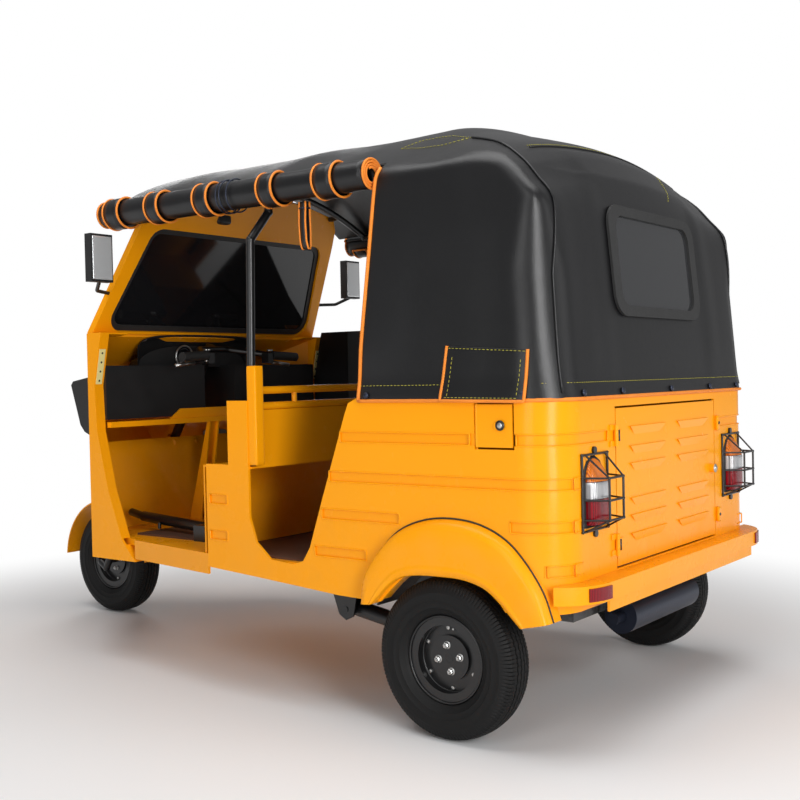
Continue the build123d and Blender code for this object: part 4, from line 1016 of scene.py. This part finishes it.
# %% [markdown]
# ## Tail lamps and the small fittings of the rear
#
# Each tail lamp is one moulded dome in amber, clear and red on a black base. The three
# parts share one outline, so they meet without a step.

# %% Lenses
lamp_x, lamp_low, lamp_high, lamp_face = 0.452, 0.545, 0.704, 1.2552


def quarter(part):
    """A quarter circle's height, from 0 to 1."""
    return math.sqrt(max(0.0, 1 - (1 - part) ** 2))


def lens_ring(height, grow):
    """The lamp's outline at one height, grown by a margin."""
    top = min(1.0, (lamp_high + grow - height) / 0.06)
    foot = min(1.0, (height - lamp_low + grow) / 0.016)
    width = (0.0475 + grow) * quarter(top) * (0.86 + 0.14 * quarter(foot))
    deep = 0.031 * max(0.02, top) ** 0.75 * (0.8 + 0.2 * foot)
    return [(width * math.copysign(abs(math.cos(a)) ** 0.62, math.cos(a)),
             deep * abs(math.sin(a)) ** 0.62) for a in np.linspace(0, math.pi, 40)]


def lens_nets(low, high, grow=0.0, deep=1.0):
    """The band of both lamps between two heights."""
    return [([(sign * (lamp_x + x), lamp_face + y * deep, z) for z in np.linspace(low, high, 14)
              for x, y in lens_ring(z, grow)], grid_faces(14, 40) + end_caps(14, 40))
            for sign in (1, -1)]


lenses = [make_piece(name, lens_nets(low, high), finish_name) for name, low, high, finish_name in (
    ("lens_red", 0.5465, 0.6075, "red_lens"), ("lens_clear", 0.609, 0.6485, "white_lens"),
    ("lens_amber", 0.65, 0.7035, "amber_lens"))]
for lens in lenses:
    lens.data.set_sharp_from_angle(angle=math.radians(50))
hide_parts("tail_lamps")
make_piece("lamp_bases", lens_nets(lamp_low - 0.006, lamp_high + 0.006, 0.007, 0.22),
           "grained_plastic")
print(len(lenses), "lens bands on each side")

# %% Latches, lock, keyhole and hinge pins
rear, left, hinge_z = (0.0, 1.0, 0.0), (1.0, 0.0, 0.0), (0.48, 0.752)
make_piece("hatch_lock", [
    button_net((-0.296, 1.269, 0.621), rear, radius, height, sides=sides)
    for radius, height, sides in ((0.0125, 0.003, 24), (0.008, 0.0055, 20))],
    "bright_zinc", "engine_lid")
make_piece("hatch_pins", [
    tube_net([(0.333, 1.2665, z - 0.014), (0.333, 1.2665, z + 0.014)], 0.004)
    for z in hinge_z] + [button_net((-0.343, 1.2635, z), rear, 0.0048, 0.003) for z in hinge_z],
           "black_enamel")
make_piece("fuel_lock", [button_net((0.6245, 1.102, 0.789), left, 0.0125, 0.0026, sides=24)],
           "black_enamel", "fuel_lid")
make_piece("fuel_keyhole", [button_net((0.6262, 1.102, 0.789), left, 0.007, 0.0018, sides=20)],
           "bright_zinc", "fuel_lid")
make_piece("hatch_keepers", [
    pad_net((-0.352, 1.2552, z - 0.022), (-0.334, 1.264, z + 0.022), 0.002, counts=(3, 3, 4))
    for z in hinge_z], "enamel")
print("two locks, and pins and keepers at", hinge_z)

# %% Pressed lips round the ribs
rib_tall, corner_round = 0.028, 0.11
rib_rows = (                 # front and rear stations on the side, top, both ends on the corner
    (0.604, 1.012, 0.768, None), (1.144, 1.145, 0.768, 0.37), (0.564, 1.145, 0.663, 0.545),
    (0.536, 0.795, 0.562, None), (1.122, 1.145, 0.562, 0.545), (0.508, 0.685, 0.46, None),
    (1.202, 1.202, 0.46, 0.545), (0.106, 0.178, 0.58, None), (0.106, 0.178, 0.476, None),
)


def body_run(front, rear, height, end):
    """Points along the body's side, and on round its corner if there is an end."""
    points = [(0.62, y, height) for y in np.linspace(front, rear, 30)]
    if end is None:
        return points
    start = 1.255 - corner_round
    points = [p for p in points if p[1] < start] + [
        (0.62 - corner_round * (1 - math.cos(a)), start + corner_round * math.sin(a), height)
        for a in np.linspace(0, math.pi / 2, 16)
        if start + corner_round * math.sin(a) >= rear - 0.001]
    return points + [(x, 1.255, height) for x in np.linspace(0.618 - corner_round, end, 8)]


lips = []
for front, back, top, end in rib_rows:
    outline = body_run(front, back, top, end) + body_run(front, back, top - rib_tall, end)[::-1]
    outline = even_steps(outline + outline[:1], 0.006)[:-1]
    lips += [tube_net(outline * (sign, 1, 1), 0.0021, 6, True) for sign in (1, -1)]
make_piece("rib_lips", lips, "enamel")
print(len(lips), "ribs lipped")

# %% [markdown]
# ## The driver's place
#
# A moulded visor shades one round dial, the levers end in bright sleeves, the mirrors get
# their glass, and a small lamp hangs under the roof.

# %% Visor, dial and reservoir
def visor_net(*stations):
    """Arches over the dial. stations are (y, foot height, crown height)."""
    return [(0.055 + 0.262 * math.copysign(abs(math.cos(a)) ** 0.85, math.cos(a)), y,
             foot + (crown - foot) * abs(math.sin(a)) ** 0.8)
            for y, foot, crown in stations for a in np.linspace(0, math.pi, 40)], grid_faces(
                len(stations), 40)


visor = make_piece("dial_visor", [visor_net(
    (-0.6, 0.955, 1.014), (-0.575, 0.955, 1.028), (-0.554, 0.955, 1.042),
    (-0.55, 1.03, 1.052), (-0.53, 1.045, 1.064), (-0.505, 1.049, 1.07))],
    "grained_plastic")
thicken(visor, 0.004, -1.0)
fascia = visor_net((-0.557, 0.955, 1.036))[0] + [(0.055, -0.557, 0.96)]
make_piece("dial_fascia", [(fascia, [(i, i + 1, 40) for i in range(39)])], "grained_plastic",
           smooth=False)
dial = (0.105, -0.556, 0.995)
make_piece("dial_bezel", [
    tube_net(circle(np.add(dial, (0, 0.004, 0)), 0.04, 48), 0.0035, 8, True)], "bright_zinc")
make_piece("dial_glass", [button_net(dial, (0, 1, 0), 0.039, 0.003, sides=40)],
           "windshield_tint")
make_piece("reservoir", [
    pad_net((-0.24, -0.757, 0.64), (-0.16, -0.692, 0.715), 0.012, 0.002, 0.001)],
    "milky_plastic")
make_piece("reservoir_cap", [button_net((-0.2, -0.724, 0.715), (0, 0, 1), 0.018, 0.012)],
           "grained_plastic")
print("visor, dial and reservoir in place")

# %% Lever sleeves, mirror glass, cabin lamp and wiper
def side_block(sign, low, high, corner, counts):
    """A small block given for the left, or its mirror image."""
    (x0, *near), (x1, *far) = low, high
    x0, x1 = sorted((sign * x0, sign * x1))
    return pad_net((x0, *near), (x1, *far), corner, counts=counts)


make_piece("lever_sleeves", [tube_net(
    [(sign * 0.196, -0.4045, 0.971), (sign * 0.24, -0.403, 0.9665),
     (sign * 0.284, -0.401, 0.9615)], (0.0078, 0.007, 0.0066), 12)
    for sign in (1, -1)], "bright_zinc", "steering")
make_piece("lever_screws", [
    tube_net([(sign * x, -0.385, 0.9975 + dz), (sign * x, -0.372, 0.9965 + dz)], 0.0042)
    for sign in (1, -1) for x in (0.1515, 0.1635) for dz in (0.018, -0.02)],
    "bright_zinc", "steering")
make_piece("mirror_glass", [
    side_block(sign, (0.584, -0.3512, 1.232), (0.658, -0.348, 1.368), 0.0014, (12, 3, 16))
    for sign in (1, -1)], "silvered_glass")
make_piece("cabin_lamp", [
    pad_net((0.098, -0.338, 1.448), (0.16, -0.3, 1.486), 0.01, 0.002, counts=(10, 10, 10))],
    "grained_plastic")
make_piece("cabin_lamp_stalk", [
    tube_net([(0.128, -0.318, 1.484), (0.128, -0.316, 1.525)], 0.005)], "black_enamel")
lean = math.radians(27.0)


def on_glass(x, up, out):
    """A point up the windshield's plane and out in front of it."""
    return (x, -0.525 + up * math.sin(lean) - out * math.cos(lean),
            1.09 + up * math.cos(lean) + out * math.sin(lean))


make_piece("wiper", [
    tube_net([on_glass(0.2, -0.02, 0.02), on_glass(0.1, 0.06, 0.024),
              on_glass(-0.05, 0.15, 0.018)], 0.0035),
    tube_net([on_glass(0.1, 0.235, 0.01), on_glass(-0.2, 0.065, 0.01)], 0.0045)],
    "grained_plastic")
print("levers, mirrors, cabin lamp and wiper in place")

# %% Post sleeves and the pillar's strip
make_piece("post_sleeves", [
    side_block(sign, (0.583, 0.262, 0.668), (0.617, 0.296, 0.948), 0.003, (6, 6, 8))
    for sign in (1, -1)], "enamel")


def on_strip(x, height, out):
    """A point on the door pillar's slanted rear face."""
    return (x, -0.496 + (height - 0.9) * 38.0 / 172.0 + out, height)


box_faces = [(3, 2, 1, 0), (4, 5, 6, 7), (0, 1, 5, 4), (1, 2, 6, 5), (2, 3, 7, 6), (3, 0, 4, 7)]
make_piece("pillar_strips", [([on_strip(sign * x, z, out) for out in (0.0, 0.0016) for x, z in (
    (0.5225, 0.904), (0.5465, 0.904), (0.5465, 1.018), (0.5225, 1.018))], box_faces)
    for sign in (1, -1)], "pale_plate", smooth=False)
# Each hole in the strip is a flat dark disc on its face: painted shade that stands in for the
# hole's depth.
strip_hole_shade = [button_net(on_strip(sign * 0.5342, z, 0.0016), (0, 0.976, -0.216), 0.0036, 0.0006)
         for sign in (1, -1) for z in (0.915, 0.945, 0.975, 1.005)]
make_piece("pillar_strip_hole_shade", strip_hole_shade, "seal_rubber")
print(len(strip_hole_shade), "strip holes")

# %% Strap that hangs from the left roll
hang_y = 0.484
loop_run = even_steps([
    (0.612, hang_y, 1.386), (0.6145, hang_y, 1.33), (0.6135, hang_y + 0.002, 1.28),
    (0.608, hang_y + 0.003, 1.26), (0.602, hang_y + 0.003, 1.257),
    (0.5965, hang_y + 0.002, 1.264), (0.593, hang_y, 1.3), (0.596, hang_y, 1.386)], 0.008)
rails = [loop_run + (0, side * 0.011, 0) for side in (-1, 1)]
hanger = make_piece("hanging_strap", [(np.concatenate(rails), grid_faces(2, len(loop_run)))],
                    "hood_vinyl")
thicken(hanger, 0.0018)
hanger_edges = make_piece("hanging_strap_binding", [tube_net(rail, 0.0028, 6) for rail in rails],
                          "orange_binding")
hanger_ring = make_piece("hanging_strap_ring", [tube_net(
    circle((0.604, hang_y, 1.368), np.array((0.0135, 0.014, 0)), 32, 0, 1), 0.0024, 6, True)],
    "blued_steel")

# %% [markdown]
# ## The studio
#
# A wide flat floor fades into white, so that no camera sees a horizon. One large soft box
# hangs above, a tall one draws the long highlight down the hood's corner, and four weak ones
# open the shadows. The world lights the paint as a dim grey. To the camera and through glass
# it is white, and mirrored in a surface it is a quarter of the way there.

# %% Floor
@finish(Base_Color=(0.86, 0.86, 0.86), Roughness=0.9, Specular_IOR_Level=0.1)
def paper(place):
    reach = place.add("VectorMath", {"operation": "LENGTH"}, out=1, _0=place)
    sheet = Wire(place.tree, place.tree.nodes["Principled BSDF"].outputs[0])
    glow = place.add("Emission", Color=(1.0, 1.0, 1.0), Strength=1.0)
    faded = place.add("MixShader", _0=reach.smooth(1.5, 2.7), _1=sheet, _2=glow)
    plug(place.tree, place.tree.nodes["Material Output"].inputs["Surface"], faded)
    return {}


floor_mesh = bpy.data.meshes.new("studio_floor")
floor_mesh.from_pydata(circle((0, 0, 0), 14.0, 96, 0, 1).tolist(), [], [tuple(range(96))])
floor_mesh.materials.append(finishes["paper"])
put("studio_floor", floor_mesh)
print("floor laid")

# %% World and lamps
studio = bpy.data.worlds.new("studio")
bpy.context.scene.world = studio
studio.use_nodes = True
tree = studio.node_tree
seen, mirrored, through = (add_node(tree, "LightPath", out=k) for k in (0, 3, 6))
backdrop = (seen + mirrored * 0.25 + through).mix((0.12, 0.12, 0.125), (1.0, 1.0, 1.0))
plug(tree, tree.nodes["Background"].inputs["Color"], backdrop)


def soft_box(name, place, target, wide, tall, power):
    """A rectangular area lamp at place that faces target."""
    lamp = bpy.data.lights.new(name, "AREA")
    lamp.shape, lamp.size, lamp.size_y, lamp.energy = "RECTANGLE", wide, tall, power
    stand = put(name, lamp)
    stand.location = place
    stand.rotation_euler = (Vector(target) - Vector(place)).to_track_quat("-Z", "Y").to_euler()


soft_box("overhead", (0.6, 0.6, 4.6), (0.0, 0.2, 0.8), 5.0, 3.2, 145.0)
soft_box("corner_strip", (2.65, 4.75, 1.55), (0.55, 1.2, 1.1), 1.3, 2.8, 140.0)
soft_box("key_light", (4.4, 2.0, 3.5), (0.2, 0.3, 0.8), 2.0, 2.0, 28.0)
soft_box("cab_fill", (4.7, 1.2, 1.1), (0.0, -0.5, 0.8), 1.6, 1.4, 26.0)
soft_box("rear_side", (-1.6, 5.8, 2.3), (0.0, 0.6, 0.9), 1.6, 3.2, 25.0)
soft_box("front_fill", (-3.4, -4.2, 2.4), (0.0, 0.0, 0.8), 2.4, 2.4, 70.0)
bpy.context.scene.view_settings.view_transform = "Standard"
print("studio built")
